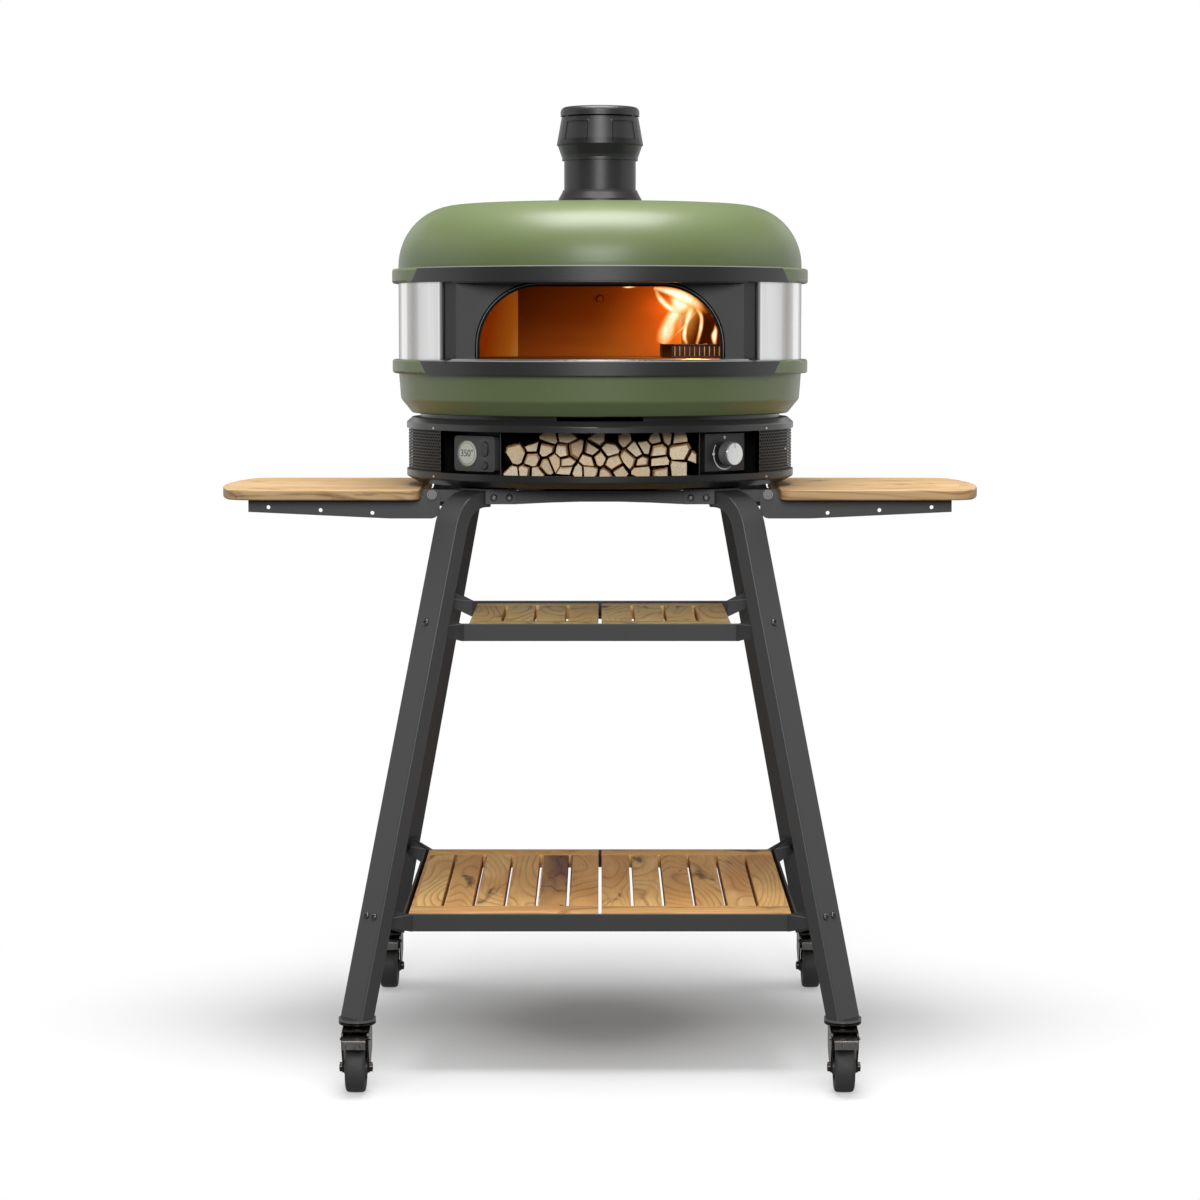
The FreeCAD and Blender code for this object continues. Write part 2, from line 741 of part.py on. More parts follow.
def side_board(side, sx):
    # a wooden board on two arms that fold down about the hinge pins
    inner, outer = "pivotX + boardIn", "pivotX + boardOut"
    low, high = "pivotZ - armSeat", "pivotZ - armSeat + boardThick"
    bow = [(f"{outer} - boardBow*({i}/10)^2", f"boardHalfY*({i}/10)") for i in range(-9, 10)]
    plan = [(inner, "-boardHalfY", "boardInnerR"),
            (f"{outer} - boardBow", "-boardHalfY", "boardOuterR"), *bow[2:-2],
            (f"{outer} - boardBow", "boardHalfY", "boardOuterR"), (inner, "boardHalfY", "boardInnerR")]
    board = pad(f"{side}_board", "XY", plan, (low, high))
    rounded(board, "boardEdge", lambda e: e.BoundBox.ZLength < 1e-6)
    board.Placement = at(turn=0 if sx > 0 else 180)
    part(f"side_board_{side}", board)
    # arm outline from the pivot: rounded end, step under the board, tapered tip
    steps = [("-12", "armTop", "7"), ("12", "armTop"), ("boardIn - 1.5", "-armSeat", "3"),
             ("armEnd", "-armSeat"), ("armEnd", "-armTip"), ("armKnee", "-armDrop"),
             ("-12", "-armDrop", "14")]
    arms = []
    for sy in (-1, 1):
        name = f"{side}_arm{sy}"
        face = [(f"{sx}*(pivotX + ({x}))", f"pivotZ + ({z})", *r) for x, z, *r in steps]
        plate = pad(name + "_plate", "XZ", face, span(-sy, "armY", "armY + sheet"))
        flange = block(name + "_flange", span(sx, "pivotX + armKnee", "pivotX + armEnd"),
                       span(sy, "armY - seatFlange", "armY"),
                       ("pivotZ - armSeat - sheet", "pivotZ - armSeat"))
        holes = [rod(f"{name}_hook{i}", "armHookR", "3*sheet", Vector(
            sx * hook.x, sy * (size.armY - size.sheet), hook.z), Vector(0, sy, 0))
            for i, hook in enumerate(hooks())]
        bore = rod(name + "_bore", "pivotR + runPlay", "3*sheet", Vector(
            sx * size.pivotX, sy * (size.armY - size.sheet), size.pivotZ), Vector(0, sy, 0))
        arms.append(cut(name, join(name + "_whole", plate, flange), bore, *holes))
    part(f"side_arms_{side}", *arms)


def hooks():
    # centres of the three hook holes along an arm
    spots = []
    for x, up in ((92.4, 11.5), (172.4, 12), (253, 12.7)):
        slope = (size.armDrop - size.armTip) / (size.armEnd - size.armKnee)
        low = size.pivotZ - size.armDrop + (x - size.armKnee) * slope
        spots.append(Vector(size.pivotX + x, 0, low + up - 4))
    return spots


def caster(corner, sx, sy):
    # a swivel fork with its trailing wheel, axle and brake pedal
    x, y = sx * size.casterXY, sy * size.casterXY
    place = at(x, y)
    name = "caster_" + corner
    nose = "trail + pedalOut + 9"
    arm = [("trail + 9", "wheelR - 8", "6"), ("trail + 9", "wheelR + 12"), (nose, "pedalZ - 12"),
           (nose, "forkTop - 4", "5"), ("10", "forkTop"), ("4 - swivelR", "forkTop"),
           ("4 - swivelR", "wheelR + 20"), ("trail - 10", "wheelR - 8", "6")]
    cheeks = []
    for sign in (-1, 1):
        inner, outer = "forkGap/2", "forkGap/2 + forkSheet"
        face = [(f"-({a})", *rest) for a, *rest in arm]
        cheek = pad(f"{name}_cheek{sign}", "YZ", face, span(sign, inner, outer))
        cheeks.append(cheek)
    crown = block(name + "_crown", ("-forkGap/2", "forkGap/2"), (f"6 - ({nose})", "swivelR - 4"),
                  ("forkTop - forkSheet", "forkTop"))
    web = block(name + "_web", ("-forkGap/2", "forkGap/2"), ("swivelR - 4 - forkSheet", "swivelR - 4"),
                ("wheelR + 20", "forkTop"))
    turntable = turned(name + "_turntable", [("0", "forkTop"), ("swivelR - 3", "forkTop"),
                       ("swivelR", "forkTop + 2", "1"), ("swivelR", "forkTop + swivelHigh - 1"),
                       ("swivelR - 2", "forkTop + swivelHigh"), ("0", "forkTop + swivelHigh")])
    pivot = Vector(0, -size.trail - size.pedalOut, size.pedalZ)
    axle_y, axle_z = -size.trail, size.wheelR
    holes = [rod(name + "_axle_hole", "axleR", "60", Vector(-30, axle_y, axle_z), Vector(1, 0, 0)),
             rod(name + "_pedal_hole", "2.5 + runPlay", "60", pivot - Vector(30, 0, 0), Vector(1, 0, 0)),
             rod(name + "_king_hole", "stemR + runPlay", "forkTop", Vector(0, 0, size.pedalZ),
                 Vector(0, 0, 1))]
    fork = cut(name + "_fork_cut", join(name + "_fork_whole", *cheeks, crown, web, turntable), *holes)
    axle = rod(name + "_axle_rod", "axleR", "forkGap + 14", Vector(
        -size.forkGap / 2 - 7, axle_y, axle_z), Vector(1, 0, 0))
    nuts = []
    for sign in (-1, 1):
        start = Vector(sign * (size.forkGap / 2 + size.forkSheet), axle_y, axle_z)
        nuts.append(rod(f"{name}_nut{sign}", "axleR + 3", "4", start, Vector(sign, 0, 0)))
    part(name + "_fork", fork, join(name + "_axle_whole", axle, *nuts), place=place)
    half = "wheelWide/2"
    section = [("hubR", f"-{half}"), ("wheelR - 3", f"-{half}"), ("wheelR", f"4 - {half}", "3"),
               ("wheelR", f"{half} - 4", "3"), ("wheelR - 3", half), ("hubR", half)]
    hub = [("hubBore", "-hubWide/2"), ("10", "-hubWide/2"), ("12", "5 - wheelWide/2"),
           ("hubR", "5 - wheelWide/2"), ("hubR", "wheelWide/2 - 5"), ("12", "wheelWide/2 - 5"),
           ("10", "hubWide/2"), ("hubBore", "hubWide/2")]
    spin = Placement(Vector(x, y + axle_y, axle_z), Rotation(Vector(0, 1, 0), 90))
    part(name + "_wheel", turned(name + "_tyre_turn", section), turned(name + "_hub_turn", hub),
         place=spin)
    lever = [("-5", "-4", "2"), ("28", "-3"), ("31", "-9"), ("35", "-9"), ("33", "4", "2"),
             ("0", "5", "2"), ("-5", "2")]
    face = [(f"-({a}) - trail - pedalOut", f"pedalZ + ({b})", *r) for a, b, *r in lever]
    step = pad(name + "_step", "YZ", face, ("-pedalWide/2", "pedalWide/2"))
    pin = rod(name + "_pedal_pin", "2.5", "forkGap + 10", pivot - Vector(
        size.forkGap / 2 + 5, 0, 0), Vector(1, 0, 0))
    part(name + "_pedal", join(name + "_pedal_whole", step, pin), place=place)


def caster_stem(corner, sx, sy):
    # the fixed half of a swivel: a disc under the leg on an upright stem
    name, spot = "stem_" + corner, Vector(sx * size.casterXY, sy * size.casterXY, 0)
    up = Vector(0, 0, 1)
    disc = rod(name + "_disc", "swivelR", "stemDisc", spot + up * (size.legCut - size.stemDisc), up)
    stem = rod(name + "_rod", "stemR", "stemHigh + 12", spot + up * (size.forkTop - 6), up)
    head = rod(name + "_head", "stemR + 3", "3.2", spot + up * (size.forkTop - 6), up)
    return join(name, disc, stem, head)


def shells():
    # the two bowls of the oven's jacket, and the black bands let into their rims
    upper = turned("upper_turn", [
        ("0", "domeTop"), ("bodyR", "domeEdge", "shoulderR"), ("bodyR", "upRimTop"),
        ("rimR", "upRimTop", "rimEdge"), ("rimR", "upRimLow", "rimEdge"),
        ("bodyR - shellWall", "upRimLow"),
        ("bodyR - shellWall", "domeEdge - shellWall", "shoulderR - shellWall"),
        ("0", "domeTop - shellWall")])
    upperBlank, upperBand = band("upper_band", "upBandTopX", "upBandLowX", "upRimLow", "upRimTop")
    flueHole = rod("upper_flue_hole", "flueR + 0.5", "domeTop - upRimTop + 1",
                   Vector(0, -size.flueY, size.upRimTop), Vector(0, 0, 1))
    upper = cut("upper_cut", upper, upperBlank, flueHole)
    part("upper_shell", upper)
    lower = turned("lower_turn", [
        ("0", "bellyZ"), ("bellyR", "bellyZ", "4"), ("waistR", "waistZ", "8"),
        ("bodyR", "lowRimLow"), ("rimR", "lowRimLow", "rimEdge"), ("rimR", "lowRimTop", "rimEdge"),
        ("bodyR - shellWall", "lowRimTop"), ("waistR - shellWall", "waistZ + 2"),
        ("bellyR - 2", "bellyZ + shellWall"), ("0", "bellyZ + shellWall")])
    lowerBlank, lowerBand = band("lower_band", "lowBandTopX", "lowBandLowX", "lowRimLow", "lowRimTop")
    part("lower_shell", cut("lower_cut", lower, lowerBlank))
    soffit = front_segment("soffit", "rimR - bandDrop", "upRimLow - bandDrop", "upRimLow",
                           rear="3 - plateY")
    part("front_bands", join("upper_band_whole", upperBand, soffit), lowerBand)
    part("landing_strip", front_segment("landing", "landingR", "lowRimTop",
                                        "lowRimTop + landingSheet", "landingX"))
    wrap = ring("wrap_ring", "bodyR", "bodyR - wrapSheet", "lowRimTop", "upRimLow")
    front = block("wrap_front", ("-wrapX", "wrapX"), ("-2*rimR", "0"), ("lowRimTop", "upRimLow"))
    part("side_wrap", cut("wrap_cut", wrap, front))
    return upper


def band(name, topX, lowX, low, high):
    # the stretch of rim to take out, and the folded strip that fills it
    shape = [(f"-{lowX}", low), (lowX, low), (topX, high), (f"-{topX}", high)]
    prism = pad(name + "_prism", "XZ", shape, ("0", "2*rimR"))
    full = ring(name + "_ring", "rimR + 1", "bodyR", low, high)
    strip = turned(name + "_strip", [
        ("bodyR", f"{high} - bandDrop"), ("rimR - bandDrop", f"{high} - bandDrop"),
        ("rimR - bandDrop", low), ("rimR", low), ("rimR", high), ("bodyR", high)])
    return overlap(name + "_blank", prism, full), overlap(name + "_fill", prism, strip)


def front_segment(name, radius, low, high, halfX="rimR", rear="5 - plateY"):
    # a flat plate under the arc of the rim, ahead of the face plate
    disc = prim("Cylinder", name + "_disc", at(z=number(low)), Radius=radius, Height=f"{high} - ({low})")
    ahead = block(name + "_ahead", (f"-{halfX}", halfX), ("-2*rimR", rear), (low, high))
    return overlap(name + "_plate", disc, ahead)


def mouth():
    # the folded plate between the bowls with the arched opening and its raised edge
    low, high = "floorZ", "upRimLow - bandDrop"
    plan = [("-wrapX + 0.5", "-wrapY + 1"), ("-plateX - 1", "-plateY"), ("plateX + 1", "-plateY"),
            ("wrapX - 0.5", "-wrapY + 1"), ("wrapX - 4.5", "-wrapY + 1"),
            ("plateX - 1", "sheet - plateY"), ("1 - plateX", "sheet - plateY"),
            ("4.5 - wrapX", "-wrapY + 1")]
    plate = pad("face_pad", "XY", plan, (low, high))
    opening = [("-mouthX", f"{low} - 1"), ("mouthX", f"{low} - 1"), ("mouthX", "mouthTop", "mouthR"),
               ("-mouthX", "mouthTop", "mouthR")]
    hole = pad("mouth_pad", "XZ", opening, ("plateY - 2*sheet", "plateY + sheet"))
    part("face_plate", cut("face_cut", plate, hole))
    edge = [("-mouthX - trimWide", low), ("mouthX + trimWide", low),
            ("mouthX + trimWide", "mouthTop + trimWide", "mouthR + trimWide"),
            ("-mouthX - trimWide", "mouthTop + trimWide", "mouthR + trimWide")]
    trim = pad("trim_pad", "XZ", edge, ("plateY", "plateY + trimOut"))
    part("mouth_trim", cut("trim_cut", trim, hole))


def mirrored(points):
    # the right half of a plan and its mirror, as one closed outline
    return points + [(f"-({x})", y) for x, y in reversed(points)]


def chamber():
    # the cooking chamber around its stones, with the burner behind a slotted guard
    floor, under, front = "floorZ", "floorZ - stoneThick", "sheet - plateY"
    outer = mirrored([("chamberFrontX + chamberWall", front),
                      ("chamberSideX + chamberWall", "-chamberFrontY"),
                      ("chamberSideX + chamberWall", "chamberRearY + 2"),
                      ("chamberBackX + 2", "chamberBackY + chamberWall")])
    inner = mirrored([("chamberFrontX", f"{front} - 2"), ("chamberFrontX", front),
                      ("chamberSideX", "-chamberFrontY"), ("chamberSideX", "chamberRearY"),
                      ("chamberBackX", "chamberBackY")])
    hull = pad("chamber_outer", "XY", outer, (under, "chamberTop + chamberWall"))
    room = pad("chamber_inner", "XY", inner, (f"{under} - 1", "chamberTop"))
    notch = block("chamber_notch", ("-bodyR", "bodyR"), ("-bodyR", "5.5 - plateY"),
                  (f"{under} - 1", floor))
    flue = rod("chamber_flue", "flueR - flueWall", "chamberWall + 2",
               Vector(0, -size.flueY, size.chamberTop - 1), Vector(0, 0, 1))
    probe = rod("probe_rod", "probeR", "probeOut", Vector(0, size.chamberBackY, size.probeZ),
                Vector(0, -1, 0))
    part("chamber", cut("chamber_cut", hull, room, notch, flue), probe)
    stone = mirrored([("chamberFrontX - stonePlay", "5 - plateY"),
                      ("chamberSideX - stonePlay", "-chamberFrontY"),
                      ("chamberSideX - stonePlay", "chamberRearY"),
                      ("chamberBackX - stonePlay", "chamberBackY - stonePlay")])
    slab = pad("stone_slab", "XY", stone, (under, floor))
    seam = block("stone_seam", ("-stoneSeam/2", "stoneSeam/2"), ("-bodyR", "bodyR"),
                 (f"{under} - 1", f"{floor} + 1"))
    part("floor_stones", cut("stone_cut", slab, seam))
    bed = prim("Cylinder", "insulation_bed", at(z=number("bellyZ + shellWall")), Radius="bellyR - 9",
               Height=f"{under} - bellyZ - shellWall")
    part("floor_insulation", bed)
    plan = [("chamberSideX - guardIn", "-guardY"), ("guardX", "-guardY"), ("guardX", "guardY + 45"),
            ("guardX + guardSheet", "guardY + 45"), ("guardX + guardSheet", "guardSheet - guardY"),
            ("chamberSideX - guardIn", "guardSheet - guardY")]
    guard = pad("guard_pad", "XY", plan, (floor, f"{floor} + guardHigh"))
    slots = []
    low, high = number(floor) + 4, number(floor) + size.guardHigh - 4
    for i in range(12):
        x = size.guardX + 8 + 9.5 * i
        slots.append(block(f"guard_slot{i}", (x, x + 2.5), ("-guardY - 1", "guardSheet - guardY + 1"),
                           (low, high)))
    for i in range(19):
        y = 9 - size.guardY + 9.5 * i
        slots.append(block(f"guard_side_slot{i}", ("guardX - 1", "guardX + guardSheet + 1"),
                           (y, y + 2.5), (low, high)))
    part("burner_guard", cut("guard_cut", guard, *slots))
    base = number(floor)
    tube = rod("burner_tube", "burnerR", "2*guardY + 20", Vector(
        size.burnerX, 15 - size.guardY, base + size.burnerR + 2), Vector(0, 1, 0))
    ports = [rod(f"burner_port{i}", "2.5", "30", Vector(
        size.burnerX, 30 - size.guardY + 14 * i, base + size.burnerR), Vector(-0.5, 0, 1))
        for i in range(9)]
    saddles = [block(f"burner_saddle{i}", ("burnerX - 14", "burnerX + 14"), (y, y + 12),
                     (floor, f"{floor} + burnerR")) for i, y in enumerate((-45, 75))]
    part("burner", cut("burner_cut", join("burner_whole", tube, *saddles), *ports))


def flue(upper):
    # the chimney: tube, skirt on the dome, vented cap and rain lid
    spot = at(0, -size.flueY)
    top = "chamberTop + chamberWall"
    part("flue_tube", ring("flue_ring", "flueR", "flueR - flueWall", top, "flueTop"), place=spot)
    skirt = turned("skirt_turn", [
        ("flueR", "domeTop + skirtHigh + 2"), ("flueR + 2", "domeTop + skirtHigh + 2"),
        ("flueR + 3.5", "domeTop + skirtHigh - 2"), ("skirtR", "domeTop + 1"),
        ("skirtR", "domeTop - shellWall"), ("skirtR - 1.5", "domeTop - shellWall"),
        ("skirtR - 1.5", "domeTop"), ("flueR + 2", "domeTop + skirtHigh - 3"),
        ("flueR", "domeTop + skirtHigh - 3")], spot)
    part("flue_skirt", cut("skirt_cut", skirt, upper))
    cap = turned("cap_turn", [
        ("flueR", "capLow"), ("beadR + 1.5", "capLow"), ("beadR + 1.5", "capLow + 4"),
        ("capWideR - 2", "capWideZ - 2"), ("capWideR", "capWideZ"), ("capTopR", "capTop"),
        ("capTopR - capWall", "capTop"), ("capWideR - capWall", "capWideZ"),
        ("beadR", "capLow + 7"), ("flueR", "capLow + 5")])
    windows = []
    for middle in (-37, 37, 143, 217):
        sector = prim("Cylinder", f"cap_window{middle}", at(z=size.capWideZ + 7, turn=middle - 90 - 19),
                      Radius="2*capWideR", Height="capTop - capWideZ - 14", Angle="38")
        inner = prim("Cone", f"cap_inner{middle}", at(z=size.capWideZ),
                     Radius1="capWideR - windowDeep", Radius2="capTopR - windowDeep",
                     Height="capTop - capWideZ")
        windows.append(cut(f"cap_recess{middle}", sector, inner))
    slits = [block(f"cap_slit{turn}", ("-0.6", "0.6"), ("-2*capWideR", "-capTopR/2"),
                   ("capWideZ + 4", "capTop - 6"), at(turn=turn)) for turn in (-17.7, 17.7)]
    capCut = cut("cap_cut", cap, *windows, *slits)
    capCut.Placement = spot
    lid = turned("lid_turn", [
        ("0", "lidTop"), ("lidR", "lidTop", "8"), ("lidR", "lidLow"), ("lidR - 2.5", "lidLow"),
        ("lidR - 2.5", "lidTop - 4"), ("0", "lidTop - 4")])
    posts = [block(f"lid_post{turn}", ("-4", "4"), ("0.5 - capTopR", "capWall - 0.5 - capTopR"),
                   ("capTop", "lidTop - 3"), at(turn=turn)) for turn in (60, 180, 300)]
    lidWhole = join("lid_whole", lid, *posts)
    lidWhole.Placement = spot
    part("flue_cap", capCut, lidWhole)


def sector(name, start, sweep, outer, inner, low, high):
    # part of a tube's wall, from an angle right of +X
    place = at(z=number(low), turn=start)
    wall = prim("Cylinder", name + "_wall", place, Radius=outer, Height=f"{high} - ({low})", Angle=sweep)
    core = prim("Cylinder", name + "_core", place, Radius=inner, Height=f"{high} - ({low})")
    return cut(name, wall, core)


def drum():
    # the round base under the bowls: tray, cover, perforated walls and plain rear wall
    part("neck_ring", cut("neck_cut", ring("neck_ring_turn", "neckR", "neckInR", "drumTop", "bellyZ"),
                          block("neck_gap", ("-neckGap", "neckGap"), ("-2*neckR", "0"),
                                ("drumTop", "bellyZ"))))
    part("drum_tray", turned("tray_turn", [
        ("0", "drumLow"), ("drumLowR", "drumLow"), ("drumR", "drumFoot", "3"), ("drumR", "drumLip"),
        ("drumR - 4", "drumLip"), ("drumR - 4", "drumLow + 10"), ("drumLowR - 1", "drumLow + sheet"),
        ("0", "drumLow + sheet")]))
    part("drum_cover", turned("cover_turn", [
        ("0", "drumTop"), ("drumTopR", "drumTop"), ("drumR", "drumHead", "3"), ("drumR", "drumOpen"),
        ("drumR - 4", "drumOpen"), ("drumR - 4", "drumHead - 2"), ("drumTopR - 2", "drumTop - sheet"),
        ("0", "drumTop - sheet")]))
    span = "grilleEnd - openAngle"
    walls = []
    for name, start in (("right", size.openAngle - 90), ("left", 270 - size.grilleEnd)):
        wall = sector(name + "_grille", start, span, "grilleR", "grilleR - grilleSheet",
                      "drumLip", "drumOpen")
        holes = []
        for column in range(11):
            for row in range(5):
                turn = start + 6.5 + 6 * column
                low = number(f"drumLip + 8 + 11*{row}")
                holes.append(block(f"{name}_hole{column}_{row}", ("grilleR - 5", "grilleR + 5"),
                                   ("-grilleHole/2", "grilleHole/2"), (low, f"{low} + grilleHole"),
                                   at(turn=turn)))
        walls.append(cut(name + "_pierced", wall, *holes))
    rear = sector("rear_wall", size.grilleEnd - 90, "360 - 2*grilleEnd", "grilleR",
                  "grilleR - grilleSheet", "drumLip", "drumOpen")
    inletHole = rod("rear_inlet_hole", "inletR + 0.5", "40", Vector(0, size.grilleR - 20, size.inletZ),
                    Vector(0, 1, 0))
    part("drum_wall", cut("rear_cut", rear, inletHole), *walls)
    feet = [rod(f"foot{sx}{sy}", "footR", "drumLow - legTop - sheet", Vector(
        sx * size.footXY, sy * size.footXY, size.legTop + size.sheet), Vector(0, 0, 1))
        for sx in (-1, 1) for sy in (-1, 1)]
    part("oven_feet", *feet)


def wood_store():
    # an open-fronted box for split logs, and the logs
    low = "drumLow + sheet"
    side = [("-storeBack", low), ("13 - storeFront", low), ("-storeFront", f"{low} + 7"),
            ("-storeFront", "drumHead - 2"), ("-storeBack", "drumHead - 2")]
    sides = [pad(f"store_side{sign}", "YZ", side, span(sign, "storeX", "storeX + grilleSheet"))
             for sign in (-1, 1)]
    deck = block("store_deck", ("-storeX - 1", "storeX + 1"), ("-storeFront", "-storeBack"),
                 (f"{low} + 6", f"{low} + 8"))
    back = block("store_back", ("-storeX - 1", "storeX + 1"), ("-storeBack - grilleSheet", "-storeBack"),
                 (f"{low} + 6", "drumHead - 2"))
    part("wood_store", join("store_whole", *sides, deck, back))
    part("firewood", *logs(number(low) + 8))


def logs(low):
    # split logs packed side by side: cells about jittered spots, each its own length
    spots = []
    for row in range(4):
        for column in range(9):
            i = row * 9 + column
            wobbleX, wobbleZ = math.sin(i * 12.9898) * 9, math.sin(i * 78.233 + 2) * 5
            shift = 8 if row % 2 else -8
            spots.append(Vector((column - 4) * 33 + shift + wobbleX, 0, low + 10 + row * 19 + wobbleZ))
    halfX, high = size.storeX - 0.5, size.drumOpen + 2
    made = []
    for i, spot in enumerate(spots):
        cell = [Vector(x, 0, z) for x, z in ((-halfX, low), (halfX, low), (halfX, high), (-halfX, high))]
        for other in spots:
            if other is not spot:
                cell = clipped(cell, (spot + other) / 2, spot - other)
        front = -size.storeFront + 4 + math.sin(i * 37.7) * 6
        rear = -size.storeBack - 5 - abs(math.sin(i * 5.3)) * 20
        corners = [p + Vector(0, front, 0) for p in cell]
        log = doc.addObject("Part::Feature", f"log{i}")
        log.Shape = Part.Face(Part.makePolygon(corners + corners[:1])).extrude(Vector(0, rear - front, 0))
        made.append(log)
    return made


def clipped(cell, spot, keep):
    # the part of a convex outline on one side of a line
    out = []
    for i, point in enumerate(cell):
        before = cell[i - 1]
        a, b = (before - spot).dot(keep), (point - spot).dot(keep)
        if (a < 0) != (b < 0):
            out.append(before + (point - before) * (a / (a - b)))
        if b >= 0:
            out.append(point)
    return out


def controls():
    # thermometer housing on the left, gas panel on the right, both on upright plates
    left, right = at(turn=-size.panelTurn), at(turn=size.panelTurn)
    plates = []
    for name, place in (("left", left), ("right", right)):
        plate = block(name + "_bulkhead", ("-bulkheadHalf", "bulkheadHalf"),
                      ("-bulkheadR - grilleSheet", "-bulkheadR"),
                      ("drumLow + sheet", "drumTop - sheet"), place)
        plates.append(plate)
    bore = rod("bulkhead_bore", "spindleR + 1", "3*grilleSheet", right.multVec(Vector(
        size.gasX, -size.bulkheadR - 2 * size.grilleSheet, size.unitMidZ)),
        right.Rotation.multVec(Vector(0, 1, 0)))
    bay = block("store_bay", ("-storeX - 2", "storeX + 2"), ("-2*rimR", "0"), ("drumLow", "drumTop"))
    part("bulkheads", cut("left_bulkhead_cut", plates[0], bay),
         cut("right_bulkhead_cut", plates[1], bore, bay))
    face = "unitFace"
    deep = ("bulkheadR + grilleSheet", face)
    shape = [("-unitX/2", "unitMidZ - unitZ/2", "6"), ("unitX/2", "unitMidZ - unitZ/2", "6"),
             ("unitX/2", "unitMidZ + unitZ/2", "6"), ("-unitX/2", "unitMidZ + unitZ/2", "6")]
    body = pad("unit_pad", "XZ", shape, deep)
    well = rod("unit_well", "displayR + 0.5", "10", Vector(
        -size.displayX, -size.unitFace - 8, size.unitMidZ), Vector(0, 1, 0))
    stems = [rod(f"unit_stem{i}", "2.5 + runPlay", "40", Vector(
        size.buttonX, -size.unitFace - 8, z), Vector(0, 1, 0))
        for i, z in enumerate((size.longMidZ, size.roundMidZ))]
    housing = cut("unit_cut", body, well, *stems)
    housing.Placement = left
    part("thermometer_body", cut("unit_trimmed", housing, bay))
    lens = rod("lens_disc", "displayR", "3", Vector(
        -size.displayX, -size.unitFace - 1, size.unitMidZ), Vector(0, 1, 0))
    part("display_lens", lens, place=left)
    cap = pad("long_cap", "XZ", [("buttonX - longX/2", "longMidZ - longZ/2", "3"),
                                 ("buttonX + longX/2", "longMidZ - longZ/2", "3"),
                                 ("buttonX + longX/2", "longMidZ + longZ/2", "3"),
                                 ("buttonX - longX/2", "longMidZ + longZ/2", "3")],
              (f"{face} + buttonOut", f"{face} + 2*buttonOut + 1"))
    stem = rod("long_stem", "2.5", "12", Vector(
        size.buttonX, -size.unitFace - 2, size.longMidZ), Vector(0, 1, 0))
    part("long_button", join("long_whole", cap, stem), place=left)
    cap = rod("round_cap", "roundR", "buttonOut + 1", Vector(
        size.buttonX, -size.unitFace - 2 * size.buttonOut - 1, size.roundMidZ), Vector(0, 1, 0))
    stem = rod("round_stem", "2.5", "12", Vector(
        size.buttonX, -size.unitFace - 2, size.roundMidZ), Vector(0, 1, 0))
    part("round_button", join("round_whole", cap, stem), place=left)
    gas_control(right, bay)


def gas_control(place, bay):
    # panel, sprung spindle, knob and valve
    shape = [("gasX - gasHalf", "drumLip + 4"), ("gasX + gasHalf", "drumLip + 4"),
             ("gasX + gasHalf", "drumOpen - 4"), ("gasX - gasHalf", "drumOpen - 4")]
    body = pad("gas_pad", "XZ", shape, ("bulkheadR + grilleSheet", "gasFace"))
    hollow = block("gas_hollow", ("gasX - gasHalf + 2", "gasX + gasHalf - 2"),
                   ("2 - gasFace", "1 - bulkheadR"), ("drumLip + 6", "drumOpen - 6"))
    start = Vector(size.gasX, -size.gasFace - 5, size.unitMidZ)
    bore = rod("gas_bore", "spindleR + 1", "20", start, Vector(0, 1, 0))
    housing = cut("gas_cut", body, hollow, bore)
    housing.Placement = place
    part("gas_panel", cut("gas_trimmed", housing, bay))
    knobBack = size.gasFace + size.knobGap
    knobBody = turned("knob_turn", [
        ("0", "0"), ("knobR", "0"), ("knobR", "knobHigh", "1.2"), ("0", "knobHigh")],
        Placement(Vector(size.gasX, -knobBack, size.unitMidZ), Rotation(Vector(1, 0, 0), 90)))
    socket = rod("knob_socket", "spindleR + runPlay", "10", Vector(
        size.gasX, -knobBack - 10, size.unitMidZ), Vector(0, 1, 0))
    part("gas_knob", cut("knob_cut", knobBody, socket), place=place)
    stem = rod("spindle_rod", "spindleR", "44", Vector(
        size.gasX, -knobBack - 9.9, size.unitMidZ), Vector(0, 1, 0))
    part("gas_spindle", stem, place=place)
    valve = rod("valve_body", "valveR", "18", Vector(
        size.gasX, -size.bulkheadR, size.unitMidZ), Vector(0, 1, 0))
    bore = rod("valve_bore", "spindleR + runPlay", "15", Vector(
        size.gasX, -size.bulkheadR - 1, size.unitMidZ), Vector(0, 1, 0))
    valve = cut("valve_cut", valve, bore)
    valve.Placement = place
    stub = rod("inlet_stub", "inletR", "inletOut + 10", Vector(
        0, size.grilleR - 10, size.inletZ), Vector(0, 1, 0))
    collar = rod("inlet_collar", "inletR + 6", "4", Vector(
        0, size.grilleR, size.inletZ), Vector(0, 1, 0))
    part("gas_fittings", valve, join("inlet_whole", stub, collar))


for corner in CORNERS:
    leg(corner)
rails = []
for face in ("front", "rear"):
    rails.append(rail(face + "_low_rail", "front", face, "lowRailZ", "lowLedgeUp", "lowBoltZ"))
    rails.append(rail(face + "_mid_rail", "middle", face, "midRailZ", "0", "midBoltZ"))
for face in ("left", "right"):
    rails.append(rail(face + "_low_rail", "side", face, "lowRailZ", "lowLedgeUp", "lowBoltZ"))
part("shelf_rails", *rails)
top = "lowRailZ + lowLedgeUp + sheet + panelThick"
part("low_shelf", *[panel(f"low_half{sign}", sign, "lowHalfX", "lowHalfY", top, 6, "lowBatten")
                    for sign in (-1, 1)])
top = "midRailZ + sheet + panelThick"
part("mid_shelf", *[panel(f"mid_half{sign}", sign, "midHalfX", "midHalfY", top, 4, "midBatten")
                    for sign in (-1, 1)])
for side, sign in (("left", -1), ("right", 1)):
    side_board(side, sign)
top_frame()
bolts()
part("caster_stems", *[caster_stem(corner, *signs) for corner, signs in SIGNS.items()])
